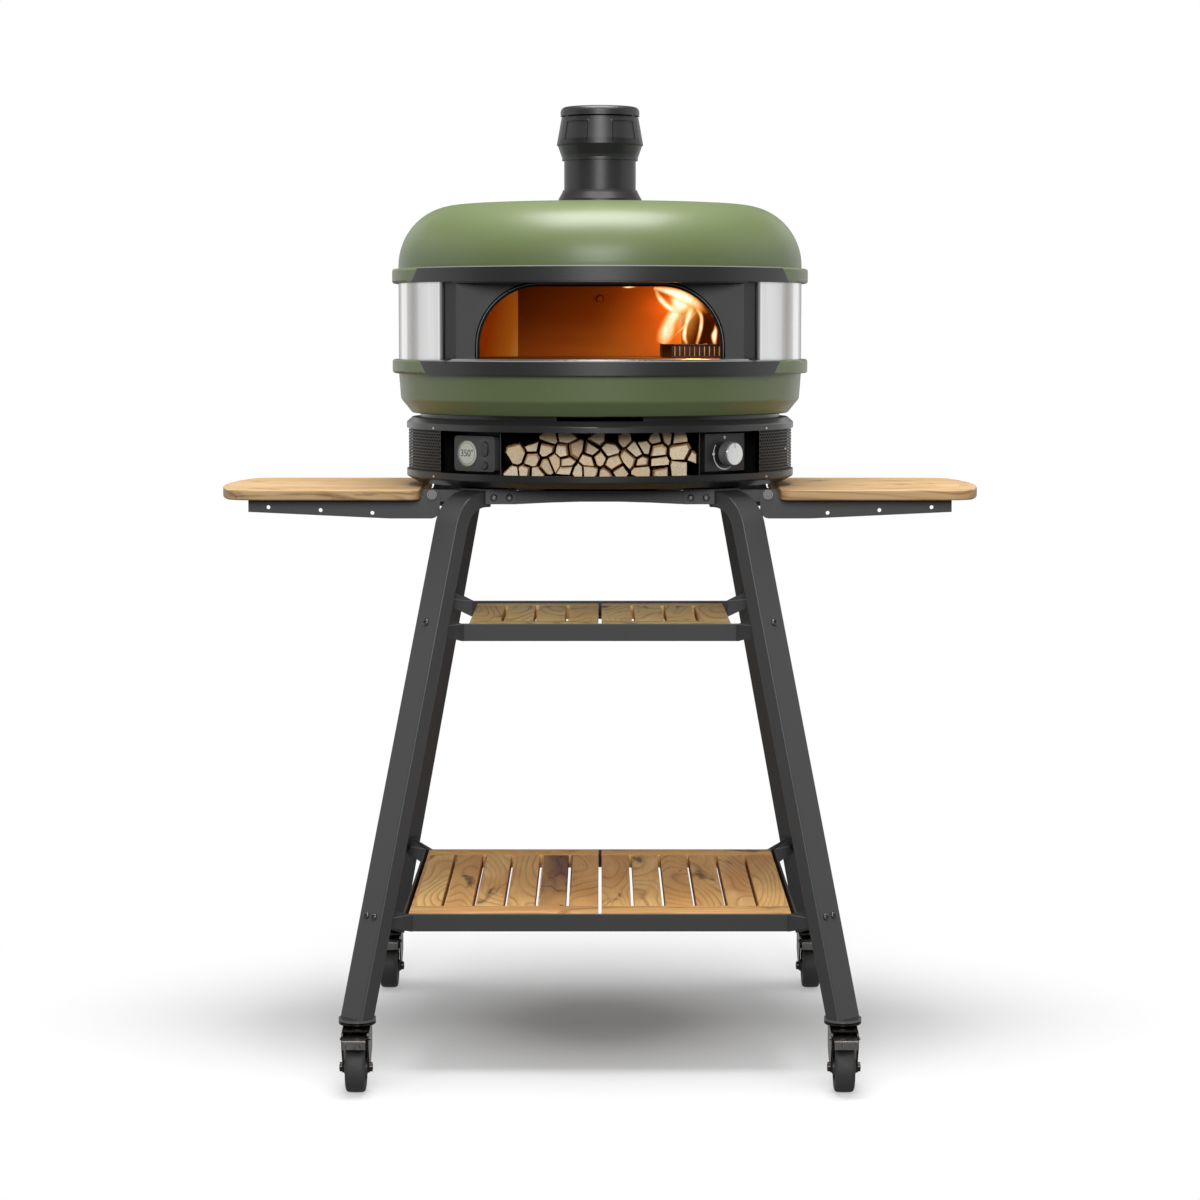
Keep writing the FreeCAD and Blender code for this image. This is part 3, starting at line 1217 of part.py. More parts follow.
for corner, signs in SIGNS.items():
    caster(corner, *signs)
upper = shells()
mouth()
chamber()
flue(upper)
drum()
wood_store()
controls()

# the origin goes to the middle of the whole, whose casters trail to the front
middle = (number("trail + pedalOut + 35") - size.swivelR) / 2
for item in parts:
    item.Placement = at(y=middle).multiply(item.Placement)

doc.recompute()
failed = [o.Name for o in doc.Objects if {"Invalid", "Error"} & set(o.State)]
if failed:
    raise SystemExit(f"objects that failed: {failed}")
for item in parts:
    if item.Shape.isNull() or not item.Shape.isValid():
        raise SystemExit(f"bad shape: {item.Label}")
os.makedirs("parts", exist_ok=True)
for item in parts:
    item.Shape.exportStep(f"parts/{item.Label}.step")
print(len(parts), "parts")
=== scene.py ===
import math
import random

import bmesh
import bpy
from mathutils import Matrix, Vector


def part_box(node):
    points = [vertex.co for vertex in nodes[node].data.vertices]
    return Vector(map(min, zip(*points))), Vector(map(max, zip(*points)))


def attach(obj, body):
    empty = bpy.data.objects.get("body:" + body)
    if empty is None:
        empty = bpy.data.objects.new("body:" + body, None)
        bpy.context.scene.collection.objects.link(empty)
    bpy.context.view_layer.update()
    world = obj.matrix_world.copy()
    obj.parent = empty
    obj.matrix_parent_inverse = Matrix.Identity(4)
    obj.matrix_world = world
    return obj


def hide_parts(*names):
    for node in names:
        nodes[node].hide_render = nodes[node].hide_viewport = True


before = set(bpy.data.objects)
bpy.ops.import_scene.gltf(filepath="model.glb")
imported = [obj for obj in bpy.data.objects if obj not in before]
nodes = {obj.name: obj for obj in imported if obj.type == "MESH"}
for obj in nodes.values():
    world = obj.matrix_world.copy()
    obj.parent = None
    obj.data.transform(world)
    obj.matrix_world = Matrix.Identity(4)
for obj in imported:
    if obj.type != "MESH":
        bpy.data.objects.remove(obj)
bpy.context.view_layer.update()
middleY = 0.0235                     # the oven and the stand are built about this line


def say(text):
    print("oven table:", text)


def tint(text, alpha=1.0):
    # a hex colour as it looks on screen, turned linear
    channels = [int(text[i:i + 2], 16) / 255 for i in (0, 2, 4)]
    linear = [c / 12.92 if c < 0.04045 else ((c + 0.055) / 1.055) ** 2.4 for c in channels]
    return (*linear, alpha)


class Value:
    # a socket's output; sums written with it add Math nodes
    def __init__(self, finish, socket):
        self.finish, self.socket = finish, socket

    def math(self, operation, *rest):
        inputs = dict(enumerate((self,) + rest))
        return self.finish.node("Math", {"operation": operation}, inputs)["Value"]

    def after(self, operation, first):
        return self.finish.node("Math", {"operation": operation}, {0: first, 1: self})["Value"]

    def __add__(self, other): return self.math("ADD", other)
    def __radd__(self, other): return self.after("ADD", other)
    def __sub__(self, other): return self.math("SUBTRACT", other)
    def __mul__(self, other): return self.math("MULTIPLY", other)
    def __truediv__(self, other): return self.math("DIVIDE", other)
    def __pow__(self, other): return self.math("POWER", other)
    def __gt__(self, other): return self.math("GREATER_THAN", other)
    def __lt__(self, other): return self.math("LESS_THAN", other)


class Node:
    # a made node, whose outputs are read by name or number
    def __init__(self, finish, item):
        self.finish, self.item = finish, item

    def __getitem__(self, key):
        return Value(self.finish, self.item.outputs[key])


class Finish:
    # one material on a Principled surface
    def __init__(self, name, **look):
        self.material = bpy.data.materials.new(name)
        self.material.use_nodes = True
        self.tree = self.material.node_tree
        self.surface = self.tree.nodes["Principled BSDF"]
        self.end = self.tree.nodes["Material Output"]
        self.set(**look)

    def node(self, kind, settings=None, inputs=None):
        item = self.tree.nodes.new("ShaderNode" + kind)
        for key, value in (settings or {}).items():
            if key == "stops":
                self.ramp(item, value)
            else:
                setattr(item, key, value)
        for key, value in (inputs or {}).items():
            self.feed(item.inputs[key], value)
        return Node(self, item)

    def ramp(self, item, stops):
        elements = item.color_ramp.elements
        while len(elements) < len(stops):
            elements.new(0.5)
        for element, (place, colour) in zip(elements, stops):
            element.position = place
            element.color = tint(colour) if isinstance(colour, str) else (colour, colour, colour, 1)

    def feed(self, socket, value):
        if isinstance(value, Value):
            self.tree.links.new(value.socket, socket)
        else:
            socket.default_value = value

    def set(self, **look):
        for key, value in look.items():
            self.feed(self.surface.inputs[key.replace("_", " ")], value)

    def place(self, stretch=(1, 1, 1), shift=(0, 0, 0)):
        # the table's own coordinates in metres, stretched for a texture
        coords = self.node("TexCoord")["Object"]
        moved = self.node("VectorMath", {"operation": "ADD"}, {0: coords, 1: shift})[0]
        return self.node("VectorMath", {"operation": "MULTIPLY"}, {0: moved, 1: stretch})[0]

    def axes(self, vector):
        split = self.node("SeparateXYZ", None, {0: vector})
        return split["X"], split["Y"], split["Z"]

    def speckle(self, vector, scale, detail=2.0, roughness=0.5, distortion=0.0):
        return self.node("TexNoise", None, {
            "Vector": vector, "Scale": scale, "Detail": detail, "Roughness": roughness,
            "Distortion": distortion})["Fac"]

    def grade(self, value, stops):
        return self.node("ValToRGB", {"stops": stops}, {0: value})["Color"]

    def range(self, value, low, high, start, end):
        return self.node("MapRange", None, {0: value, 1: low, 2: high, 3: start, 4: end})["Result"]

    def mix(self, factor, first, second, blend="MIX"):
        settings = {"data_type": "RGBA", "blend_type": blend}
        return self.node("Mix", settings, {0: factor, 6: first, 7: second})[2]

    def bump(self, height, strength, distance=0.001):
        normal = self.node("Bump", None, {"Height": height, "Strength": strength, "Distance": distance})
        self.set(Normal=normal["Normal"])


def toned(colour, share):
    # a lighter or darker tone of a hex colour
    return (*[min(1, c * share) for c in tint(colour)[:3]], 1)


def coatGrain(finish):
    # the soft clouds and the fine peel that every powder coat shows
    place = finish.place()
    return place, finish.speckle(place, 7, 3), finish.speckle(place, 1400, 1)


def coated(name, colour, roughness=0.45, peel=0.06, shade=0.06, coat=0.0, shine=0.5, dim=None):
    # powder coat: a slight peel in the gloss, a little unevenness in the colour
    finish = Finish(name, Coat_Weight=coat, Coat_Roughness=0.25, Specular_IOR_Level=shine)
    place, cloud, fine = coatGrain(finish)
    tone = finish.mix(cloud, toned(colour, 1 - shade), toned(colour, 1 + shade))
    if dim:                          # painted shade: between these two heights it is near black
        z = finish.axes(place)[2]
        tone = finish.mix((z > dim[0]) * (z < dim[1]) * 0.85, tone, tint("040404"))
    finish.set(Base_Color=tone,
               Roughness=finish.range(cloud + fine * 0.5, 0.3, 1.2, roughness - 0.05, roughness + 0.06))
    finish.bump(fine, peel, 0.0004)
    return finish.material


def brushed(name, colour, grain, roughness=0.28, depth=0.12):
    # metal rubbed in one direction; grain stretches the scratches
    finish = Finish(name, Metallic=1.0)
    scratch = finish.speckle(finish.place(grain), 1, 4, 0.65)
    cloud = finish.speckle(finish.place((9, 9, 9)), 1, 2)
    finish.set(Base_Color=finish.mix(scratch * 0.7 + cloud * 0.3, toned(colour, 0.8), tint(colour)),
               Roughness=finish.range(scratch, 0.3, 0.7, roughness - 0.07, roughness + 0.1))
    finish.bump(scratch, depth, 0.0003)
    return finish.material


def edged(name, colour, bright, edges):
    # a coat with painted highlights along its upper edges; edges are heights where that starts, is full and
    # ends
    finish = Finish(name)
    place, cloud, fine = coatGrain(finish)
    z = finish.axes(place)[2]
    tone = finish.mix(cloud, toned(colour, 0.94), tint(colour))
    for low, high, end in edges:
        shine = finish.range(z, low, high, 0.0, 1.0) * (z < end)
        tone = finish.mix(shine, tone, tint(bright))
    finish.set(Base_Color=tone, Roughness=finish.range(fine, 0.3, 0.7, 0.34, 0.44))
    finish.bump(fine, 0.1, 0.0004)
    return finish.material


def plated(name, colour, edge):
    # the face plate: its two folded side returns are painted near black as shade
    finish = Finish(name)
    place, cloud, fine = coatGrain(finish)
    x = finish.axes(place)[0]
    # painted shade: beyond the fold edge the plate is near black
    fold = finish.range(x.math("ABSOLUTE"), edge, edge + 0.0006, 0.0, 1.0)
    tone = finish.mix(cloud, toned(colour, 0.94), tint(colour))
    finish.set(Base_Color=finish.mix(fold, tone, tint("0a0a0b")),
               Roughness=finish.range(cloud + fine * 0.5, 0.3, 1.2, 0.45, 0.56))
    finish.bump(fine, 0.14, 0.0004)
    return finish.material


def wrapped(name, look):
    # bright sheet round the oven: upright bands of painted reflection and shade, and fine rub marks along them
    finish = Finish(name, Metallic=1.0)
    x = finish.axes(finish.place())[0]
    rub = finish.speckle(finish.place((700, 700, 5)), 1, 3, 0.6)
    cloud = finish.speckle(finish.place((60, 60, 0.8)), 1, 2)
    across = finish.range(x.math("ABSOLUTE"), look["inner"], look["outer"], 0.0, 1.0)
    bands = finish.grade(across, look["stops"])
    finish.set(Base_Color=finish.mix(cloud * 0.16 + rub * 0.1, bands, tint(look["rub"])),
               Roughness=finish.range(rub, 0.3, 0.7, 0.24, 0.36))
    finish.bump(rub, 0.05, 0.0003)
    return finish.material


def moulded(name, colour, roughness=0.5, grainSize=900, depth=0.1):
    finish = Finish(name)
    place = finish.place()
    fine = finish.speckle(place, grainSize, 2)
    cloud = finish.speckle(place, 25, 3)
    finish.set(Base_Color=finish.mix(cloud, toned(colour, 0.85), tint(colour)),
               Roughness=finish.range(fine + cloud, 0.6, 1.4, roughness - 0.06, roughness + 0.08))
    finish.bump(fine, depth, 0.0004)
    return finish.material


def oiled(name, look, along="y", pitch=None, start=0.0):
    # oiled hardwood: fine fibres, wandering darker figure, a few knots and dark hearts
    finish = Finish(name, Specular_IOR_Level=0.12)
    x, y, z = finish.axes(finish.place())
    across, length = (x, y) if along == "y" else (y, x)
    seed = 0.0
    if pitch:                        # each slat is cut from its own plank
        index = ((across - start) / pitch).math("FLOOR")
        seed = finish.node("TexWhiteNoise", {"noise_dimensions": "1D"}, {"W": index + 3.7})["Value"]
    wide = look["figure"]

    def grain(acrossBy, lengthBy, shift=0.0):
        parts = {0: across * acrossBy + seed * 41.0 + shift, 1: length * lengthBy + seed * 17.0,
                 2: z * acrossBy * 2.5}
        return finish.node("CombineXYZ", None, parts)["Vector"]

    heart = finish.speckle(grain(wide * 8, wide * 1.7), 1, 1.2, 0.4, 0.3)
    rings = (heart * look["rings"]).math("FRACT")
    fade = finish.range(finish.speckle(grain(24, 4, 2.0), 1, 2), 0.36, 0.62, 0.25, 1.0)
    line = finish.range((rings - 0.5).math("ABSOLUTE"), 0.3, 0.5, 0.0, 1.0) * fade
    late = finish.range(rings, 0.2, 1.0, 0.0, 0.35)
    patch = finish.range(finish.speckle(grain(11, 2.6, 13.0), 1, 2, 0.5, 0.5), 0.48, 0.66, 0.0, 0.8)
    fibre = finish.speckle(grain(520, 14), 1, 3, 0.6)
    blotch = finish.speckle(grain(26, 7, 5.0), 1, 3, 0.55, 0.4)
    dark = finish.range(finish.speckle(grain(16, 4.5, 9.0), 1, 4, 0.6, 1.1),
                        look["knots"], look["knots"] + 0.1, 0.0, 1.0)
    tone = finish.mix(blotch, tint(look["pale"]), tint(look["warm"]))
    if pitch:
        tone = finish.mix(seed * 0.55, tone, tint(look["deep"]))
    tone = finish.mix(patch, tone, tint(look["patch"]))
    tone = finish.mix(late, tone, tint(look["deep"]))
    tone = finish.mix(line * look["lines"], tone, tint(look["figureColour"]))
    tone = finish.mix(finish.range(fibre, 0.35, 0.7, 0.0, 0.3), tone, tint(look["deep"]))
    if pitch and along == "y" and look.get("heartSlat") is not None:     # one slat from the tree's middle
        chosen = (index - look["heartSlat"]).math("ABSOLUTE") < 0.5
        heartwood = finish.range(finish.speckle(grain(13, 2.4, 4.0), 1, 3), 0.34, 0.58, 0.2, 1.0)
        tone = finish.mix(chosen * heartwood, tone, tint(look["heartwood"]))
        vein = (finish.speckle(grain(15, 3.5, 7.0), 1, 3) - 0.5).math("ABSOLUTE")
        crack = finish.range(vein, 0.0, 0.02, 1.0, 0.0)
        tone = finish.mix(chosen * crack * 0.7, tone, tint(look["dark"]))
    tone = finish.mix(dark * 0.8, tone, tint(look["dark"]))
    finish.set(Base_Color=tone,
               Roughness=finish.range(fibre + blotch * 0.5, 0.5, 1.1, look["gloss"], look["gloss"] + 0.14))
    finish.bump(fibre * 0.6 + line * 0.5, 0.22, 0.0006)
    return finish.material


def dress(names, material):
    for name in names:
        nodes[name].data.materials.clear()
        nodes[name].data.materials.append(material)


def makePiece(name, verts, faces, material, body="table", slot=None, sharp=35, parts=None):
    mesh = bpy.data.meshes.new(name)
    mesh.from_pydata([tuple(v) for v in verts], [], faces)
    mesh.update()
    obj = bpy.data.objects.new(name, mesh)
    bpy.context.scene.collection.objects.link(obj)
    for item in material if isinstance(material, (list, tuple)) else [material]:
        mesh.materials.append(item)
    if parts:
        for face, index in zip(mesh.polygons, parts):
            face.material_index = index
    mesh.shade_smooth()
    mesh.set_sharp_from_angle(angle=math.radians(sharp))
    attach(obj, body)
    return obj


def lathe(profile, steps=72, place=None):
    # rings of (radius, height) turned about Z, then placed
    place = place or Matrix()
    turns = [2 * math.pi * i / steps for i in range(steps)]
    verts = [place @ Vector((radius * math.cos(turn), radius * math.sin(turn), height))
             for radius, height in profile for turn in turns]
    faces = []
    for ring in range(len(profile) - 1):
        a, b = ring * steps, (ring + 1) * steps
        faces += [(a + i, a + (i + 1) % steps, b + (i + 1) % steps, b + i) for i in range(steps)]
    return verts, faces


def rounded(points, radius, steps=5):
    # (radius, height) corners softened by arcs; open ends stay as they are
    out = [points[0]]
    for before, corner, after in zip(points, points[1:], points[2:]):
        p, c, n = Vector(before), Vector(corner), Vector(after)
        a, b = (p - c), (n - c)
        reach = min(radius, a.length * 0.45, b.length * 0.45)
        start, end = c + a.normalized() * reach, c + b.normalized() * reach
        for i in range(steps + 1):
            t = i / steps
            out.append(tuple(start.lerp(c, t).lerp(c.lerp(end, t), t)))
    return out + [points[-1]]


def gather(*groups):
    # several (verts, faces) lists as one
    verts, faces = [], []
    for groupVerts, groupFaces in groups:
        base = len(verts)
        verts += groupVerts
        faces += [tuple(base + i for i in face) for face in groupFaces]
    return verts, faces


def softBlock(low, high, edge=0.001, place=None):
    # a block with bevelled edges, as verts and faces
    shape = bmesh.new()
    bmesh.ops.create_cube(shape, size=1)
    low, high = Vector(low), Vector(high)
    for vert in shape.verts:
        vert.co = Vector([low[i] + (vert.co[i] + 0.5) * (high[i] - low[i]) for i in range(3)])
    bmesh.ops.bevel(shape, geom=shape.edges[:], offset=edge, segments=2, affect="EDGES", profile=0.5)
    verts = [(place or Matrix()) @ v.co for v in shape.verts]
    faces = [tuple(v.index for v in f.verts) for f in shape.faces]
    shape.free()
    return verts, faces


def plateSpot(turn, x, reach, z):
    # a place before the oven's middle, turned about it, whose X is right, Y up and Z towards the reader
    middle = Matrix.Translation((0, middleY, 0)) @ Matrix.Rotation(math.radians(turn), 4, "Z")
    return middle @ Matrix.Translation((x, -reach, z)) @ Matrix.Rotation(math.pi / 2, 4, "X")


say("finishes of the metal")
# lit and edges: painted highlights along the rails' top edges
stand = {"colour": "3b3b3c", "roughness": 0.42, "lit": "77787a",
         "edges": ((0.2486, 0.2492, 0.2499), (0.6846, 0.6852, 0.6859))}
shell = {"colour": "616e47", "roughness": 0.4}
# lit and edges: painted highlights along the bands' top edges
trim = {"black": "242425", "plate": "1f1f20", "drum": "232324", "ring": "050506", "bay": "0b0b0c",
        "lit": "a6a7a9", "edges": ((1.2312, 1.2318, 1.2329), (1.0892, 1.0898, 1.0909)),
        "fold": 0.2182, "capDim": (1.406, 1.4305), "trayDim": (0.8, 0.9062)}
# painted reflection and shade bands on the side wrap, from its inner edge to its outer one
wrap = {"inner": 0.24, "outer": 0.32, "rub": "77736f",
        "stops": [(0.0, "4a4a4b"), (0.045, "8c8c8d"), (0.07, "f8f8f8"), (0.1, "ececed"), (0.27, "f0f1f1"),
                  (0.48, "e8e8e8"), (0.54, "cbc9c7"), (0.62, "bdbab7"), (0.74, "cfcfcf"), (0.77, "ffffff"),
                  (0.88, "ffffff"), (0.905, "c4c4c4"), (0.96, "9a9794"), (1.0, "6f6a66")]}
charcoal = coated("charcoalCoat", stand["colour"], stand["roughness"], 0.12)
railCoat = edged("railCoat", stand["colour"], stand["lit"], stand["edges"])
sage = coated("sageCoat", shell["colour"], shell["roughness"], 0.05, 0.03, 0.1, 0.4)
blackCoat = coated("blackCoat", trim["black"], 0.38, 0.1)
bandCoat = edged("bandCoat", trim["black"], trim["lit"], trim["edges"])
drumCoat = coated("drumCoat", trim["drum"], 0.3, 0.05)
ringCoat = coated("ringCoat", trim["ring"], 0.7, 0.03, shine=0.15)
bayCoat = coated("bayCoat", trim["bay"], 0.5, 0.05, shine=0.3)
plateCoat = plated("plateCoat", trim["plate"], trim["fold"])
wrapSteel = wrapped("wrapSteel", wrap)
grilleCoat = coated("grilleCoat", "1f1f20", 0.5, 0.03, shine=0.35)
stripSteel = brushed("stripSteel", "b4b5b5", (12, 900, 900), 0.3)
boltSteel = brushed("boltSteel", "68686a", (300, 300, 300), 0.35)
pinSteel = coated("pinSteel", "8e8e90", 0.4, 0.03)
darkChrome = brushed("darkChrome", "3d3937", (250, 250, 250), 0.22, 0.04)
pedalSteel = brushed("pedalSteel", "5d5b59", (400, 400, 60), 0.3)
brassFitting = brushed("brassFitting", "b8975a", (300, 300, 300), 0.35)
plastic = moulded("ovenPlastic", "434446", 0.5)
insulation = moulded("ceramicWool", "e6e4dc", 0.95, 300, 0.6)

dress(["shelf_rails"], railCoat)
dress([n for n in nodes if n.startswith("leg_")] + ["top_rails", "corner_brackets",
      "side_arms_left", "side_arms_right"], charcoal)
dress(["upper_shell", "lower_shell"], sage)
dress(["flue_skirt", "flue_tube"], blackCoat)
# painted shade: the flue cap's lower cone is near black
dress(["flue_cap"], coated("capCoat", trim["black"], 0.38, 0.1, dim=trim["capDim"]))
dress(["front_bands"], bandCoat)
dress(["face_plate"], plateCoat)
dress(["mouth_trim"], ringCoat)
dress(["drum_cover", "drum_wall", "neck_ring"], drumCoat)
# painted shade: the tray's lower side is near black
dress(["drum_tray"], coated("trayCoat", trim["drum"], 0.3, 0.05, shine=0.3, dim=trim["trayDim"]))
dress(["wood_store", "bulkheads"], bayCoat)
dress(["gas_panel"], coated("panelCoat", "212122", 0.4, 0.05))
dress(["side_wrap"], wrapSteel)
dress(["landing_strip"], stripSteel)
dress(["frame_bolts", "hinge_pins", "gas_spindle"], boltSteel)
dress(["caster_stems"], brushed("stemSteel", "8a8886", (250, 250, 250), 0.24, 0.04))
dress([n for n in nodes if n.endswith("_fork")], darkChrome)
dress([n for n in nodes if n.endswith("_pedal")], pedalSteel)
dress(["gas_fittings"], brassFitting)
dress(["thermometer_body", "long_button", "round_button", "oven_feet"], plastic)
dress(["floor_insulation"], insulation)


say("stone and chamber")
# glow strength is painted firelight on the chamber, stone, burner and guard; lamp is a real lamp in the flames
glow = {"strength": 0.32, "lamp": 2.9, "lampSize": 0.025, "colour": (1.0, 0.45, 0.11),
        "fire": (0.15, 0.0, 1.165), "leftWall": -0.137}
probe = {"back": 0.236, "z": 1.1893,
         "profile": [(0, 0.0003), (0.0052, 0.0003), (0.0062, 0.0008), (0.0068, 0.0001)]}


def litBy(finish, dim, bright):
    # how near a spot is to the fire, from 1 beside it to 0 far away
    x, y, z = finish.axes(finish.place())
    fx, fy, fz = glow["fire"]
    away = ((x - fx) ** 2.0 + (y - fy - middleY) ** 2.0 + (z - fz) ** 2.0).math("SQRT")
    return finish.range(away, bright, dim, 1.0, 0.0)


def firelitMetal():
    # the chamber's dark steel: its glow and orange tint are painted firelight, its darker top painted shade,
    # and the lamp in the flames does the rest
    finish = Finish("firelitChamber", Metallic=0.85, Specular_IOR_Level=0.2)
    place = finish.place()
    cloud = finish.speckle(place, 8, 3)
    sheen = finish.speckle(finish.place((6, 6, 60)), 1, 3)
    x, y, z = finish.axes(place)
    # painted reflection: the left wall faces the fire, and the fire's mirror image is painted into its glow
    paintedFireReflection = finish.range(x, -0.205, -0.14, 0.0, 1.0) * (x < glow["leftWall"])
    soot = finish.range(x, 0.135, 0.165, 0.0, 1.0) * finish.range(z, 1.15, 1.19, 1.0, 0.0)
    glowLevel = litBy(finish, 0.46, 0.05) + cloud * 0.12 + paintedFireReflection * 0.55 - soot * 0.5
    # painted shade: the glow fades towards the top
    glowLevel = glowLevel - finish.range(z, 1.1, 1.2, 0.0, 0.2)
    colour = finish.grade(glowLevel, [(0.0, "3a0d00"), (0.35, "7a3302"), (0.7, "cc7a20"), (1.0, "ffc06a")])
    # painted shade: the back wall is darker at the upper left
    upper = finish.range(z, 1.11, 1.2, 0.0, 0.75) * finish.range(x, 0.0, 0.12, 1.0, 0.0)
    steel = finish.mix(cloud, tint("5a2a0a"), tint("74380f"))
    base = finish.mix(upper * (x > glow["leftWall"]), steel, tint("2c0c02"))
    finish.set(Base_Color=finish.mix(soot * 0.85, base, tint("120a06")),
               Roughness=finish.range(sheen, 0.3, 0.7, 0.4, 0.52),
               Emission_Color=colour, Emission_Strength=glow["strength"])
    finish.bump(cloud, 0.1, 0.001)
    return finish.material


def firelitStone():
    # the cooking floor, with painted firelight that is warmer and brighter towards the fire
    finish = Finish("firelitStone", Specular_IOR_Level=0.1)
    place = finish.place()
    grit = finish.speckle(place, 700, 3)
    cloud = finish.speckle(place, 12, 3)
    colour = finish.grade(litBy(finish, 0.4, 0.06), [(0.0, "5a2502"), (0.5, "8a3f0a"), (1.0, "ff9c40")])
    finish.set(Base_Color=finish.mix(cloud, tint("26170a"), tint("372310")), Roughness=0.9,
               Emission_Color=colour, Emission_Strength=glow["strength"])
    finish.bump(grit, 0.4, 0.001)
    return finish.material


def probeHole():
    # a dark disc painted as the shade in the heat probe's hole in the rear wall
    eye = lathe(probe["profile"], 32, plateSpot(0, 0, -probe["back"], probe["z"]))
    makePiece("probeHole", *eye, moulded("probeHoleShade", "1c0a04", 0.7), slot="steel")


def firelitSteel(name, share):
    # steel beside the flames, with a painted glow of firelight from below
    finish = Finish(name, Metallic=0.6)
    z = finish.axes(finish.place())[2]
    cloud = finish.speckle(finish.place(), 60, 2)
    glowLevel = finish.range(z + cloud * 0.01, 1.095, 1.122, 1.0, 0.35)
    finish.set(Base_Color=tint("24140d"), Roughness=0.5, Emission_Strength=glow["strength"] * share,
               Emission_Color=finish.grade(glowLevel, [(0.0, "2a0c02"), (0.5, "6a2405"), (1.0, "d26a1c")]))
    return finish.material


dress(["chamber"], firelitMetal())
dress(["floor_stones"], firelitStone())
dress(["burner"], firelitSteel("firelitSteel", 0.6))
probeHole()

say("shelves")
acacia = {"pale": "ffdf9e", "warm": "eab168", "deep": "cc9050", "dark": "46281a", "figureColour": "8a5526",
          "patch": "d09460", "heartwood": "7d5540", "heartSlat": -2,
          "figure": 1.0, "rings": 24.0, "lines": 0.6, "knots": 0.61, "gloss": 0.5}
# a lighter copy of the acacia for the middle shelf: painted light against the drum's shade
paintedLightAcacia = dict(acacia, pale="fff4c4", warm="ffdf98", deep="eebd76", patch="f2c488", heartSlat=None)
boardWood = {"pale": "dcc7a2", "warm": "cbaa7c", "deep": "b08a5c", "dark": "62463a", "figureColour": "7c5230",
             "patch": "d0aa7c", "figure": 0.8, "rings": 17.0, "lines": 0.65, "knots": 0.6, "gloss": 0.5,
             "plank": 0.132, "start": -0.198}
slats = {"seam": 0.0025, "slot": 0.005, "edge": 0.0015}
lowShelf = dict(slats, half=0.292, depth=0.284, count=6, batten=0.056, wood=acacia)
midShelf = dict(slats, half=0.2036, depth=0.173, count=4, batten=0.040, wood=paintedLightAcacia)


def slattedShelf(name, look, node):
    # slats of their own between two end battens, on both halves
    low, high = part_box(node)
    half, seam, depth, count = look["half"], look["seam"], look["depth"], look["count"]
    slat, slot, inside = (half - seam) / count, look["slot"] / 2, depth - look["batten"]
    groups, parts = [], []

    def board(ends, rows, part):
        (left, right), (front, back) = sorted(ends), sorted(rows)
        groups.append(softBlock((left, middleY + front, low.z), (right, middleY + back, high.z), look["edge"]))
        parts.extend([part] * len(groups[-1][1]))

    for side in (-1, 1):
        for i in range(count):
            inner = seam + slat * i + (slot if i else 0)
            outer = seam + slat * (i + 1) - (slot if i < count - 1 else 0)
            board((side * inner, side * outer), (-inside, inside), 0)
        for end in (-1, 1):
            board((side * seam, side * half), (end * inside, end * depth), 1)
    lengthwise = oiled(name + "Slats", look["wood"], "y", slat, seam)
    crosswise = oiled(name + "Battens", look["wood"], "x", 0.9, -0.45)
    obj = makePiece(name, *gather(*groups), [lengthwise, crosswise], slot="wood", sharp=50, parts=parts)
    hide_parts(node)


slattedShelf("lowSlats", lowShelf, "low_shelf")
slattedShelf("midSlats", midShelf, "mid_shelf")
dress(["side_board_left", "side_board_right"],
      oiled("boardOil", boardWood, "x", boardWood["plank"], boardWood["start"] + middleY))

say("firewood")
stack = {"rows": 4, "columns": 14, "half": 0.1485, "low": 0.9095, "high": 0.9845, "front": -0.2535,
         "limit": -0.254, "length": 0.13, "seed": 21, "gap": (0.0002, 0.0016), "face": (0.8, 1.0),
         "bevel": (0.002, 0.012), "edge": 0.0035, "leftGap": 0.045, "rightGap": 0.03}


def splitWood():
    # freshly split beech: pale faces, fibres running back, bark on some outsides
    finish = Finish("splitWood", Specular_IOR_Level=0.2)
    tone = finish.node("Attribute", {"attribute_name": "logTone"})["Fac"]
    bark = finish.node("Attribute", {"attribute_name": "logBark"})["Fac"]
    facing = finish.node("Attribute", {"attribute_name": "logEnd"})["Fac"]
    fibre = finish.speckle(finish.place((380, 14, 380)), 1, 4, 0.65)
    cloud = finish.speckle(finish.place((60, 60, 60)), 1, 3)
    endGrain = finish.speckle(finish.place((500, 500, 120)), 1, 3, 0.7)
    pale = finish.mix(facing, tint("d6ae7c"), tint("fff0d4"))
    colour = finish.mix(tone * 0.45, pale, tint("e6c596"))
    colour = finish.mix(cloud * 0.3, colour, tint("c89c68"))
    colour = finish.mix(finish.range(fibre, 0.4, 0.7, 0.0, 0.35), colour, tint("a0713f"))
    colour = finish.mix(finish.range(endGrain, 0.5, 0.75, 0.0, 0.18) * facing, colour, tint("a57a48"))
    colour = finish.mix(bark * 0.85, colour, finish.mix(cloud, tint("4e3a29"), tint("7d6247")))
    finish.set(Base_Color=colour, Roughness=finish.range(fibre, 0.3, 0.7, 0.75, 0.9))
    finish.bump(fibre + endGrain * 0.4 + bark * cloud, 0.6, 0.0012)
    return finish.material


def clipped(cell, spot, keep):
    # the part of a convex outline on the side of a line that keep points to
    out = []
    for i, point in enumerate(cell):
        before = cell[i - 1]
        a, b = (before - spot).dot(keep), (point - spot).dot(keep)
        if (a < 0) != (b < 0):
            out.append(before + (point - before) * (a / (a - b)))
        if b >= 0:
            out.append(point)
    return out


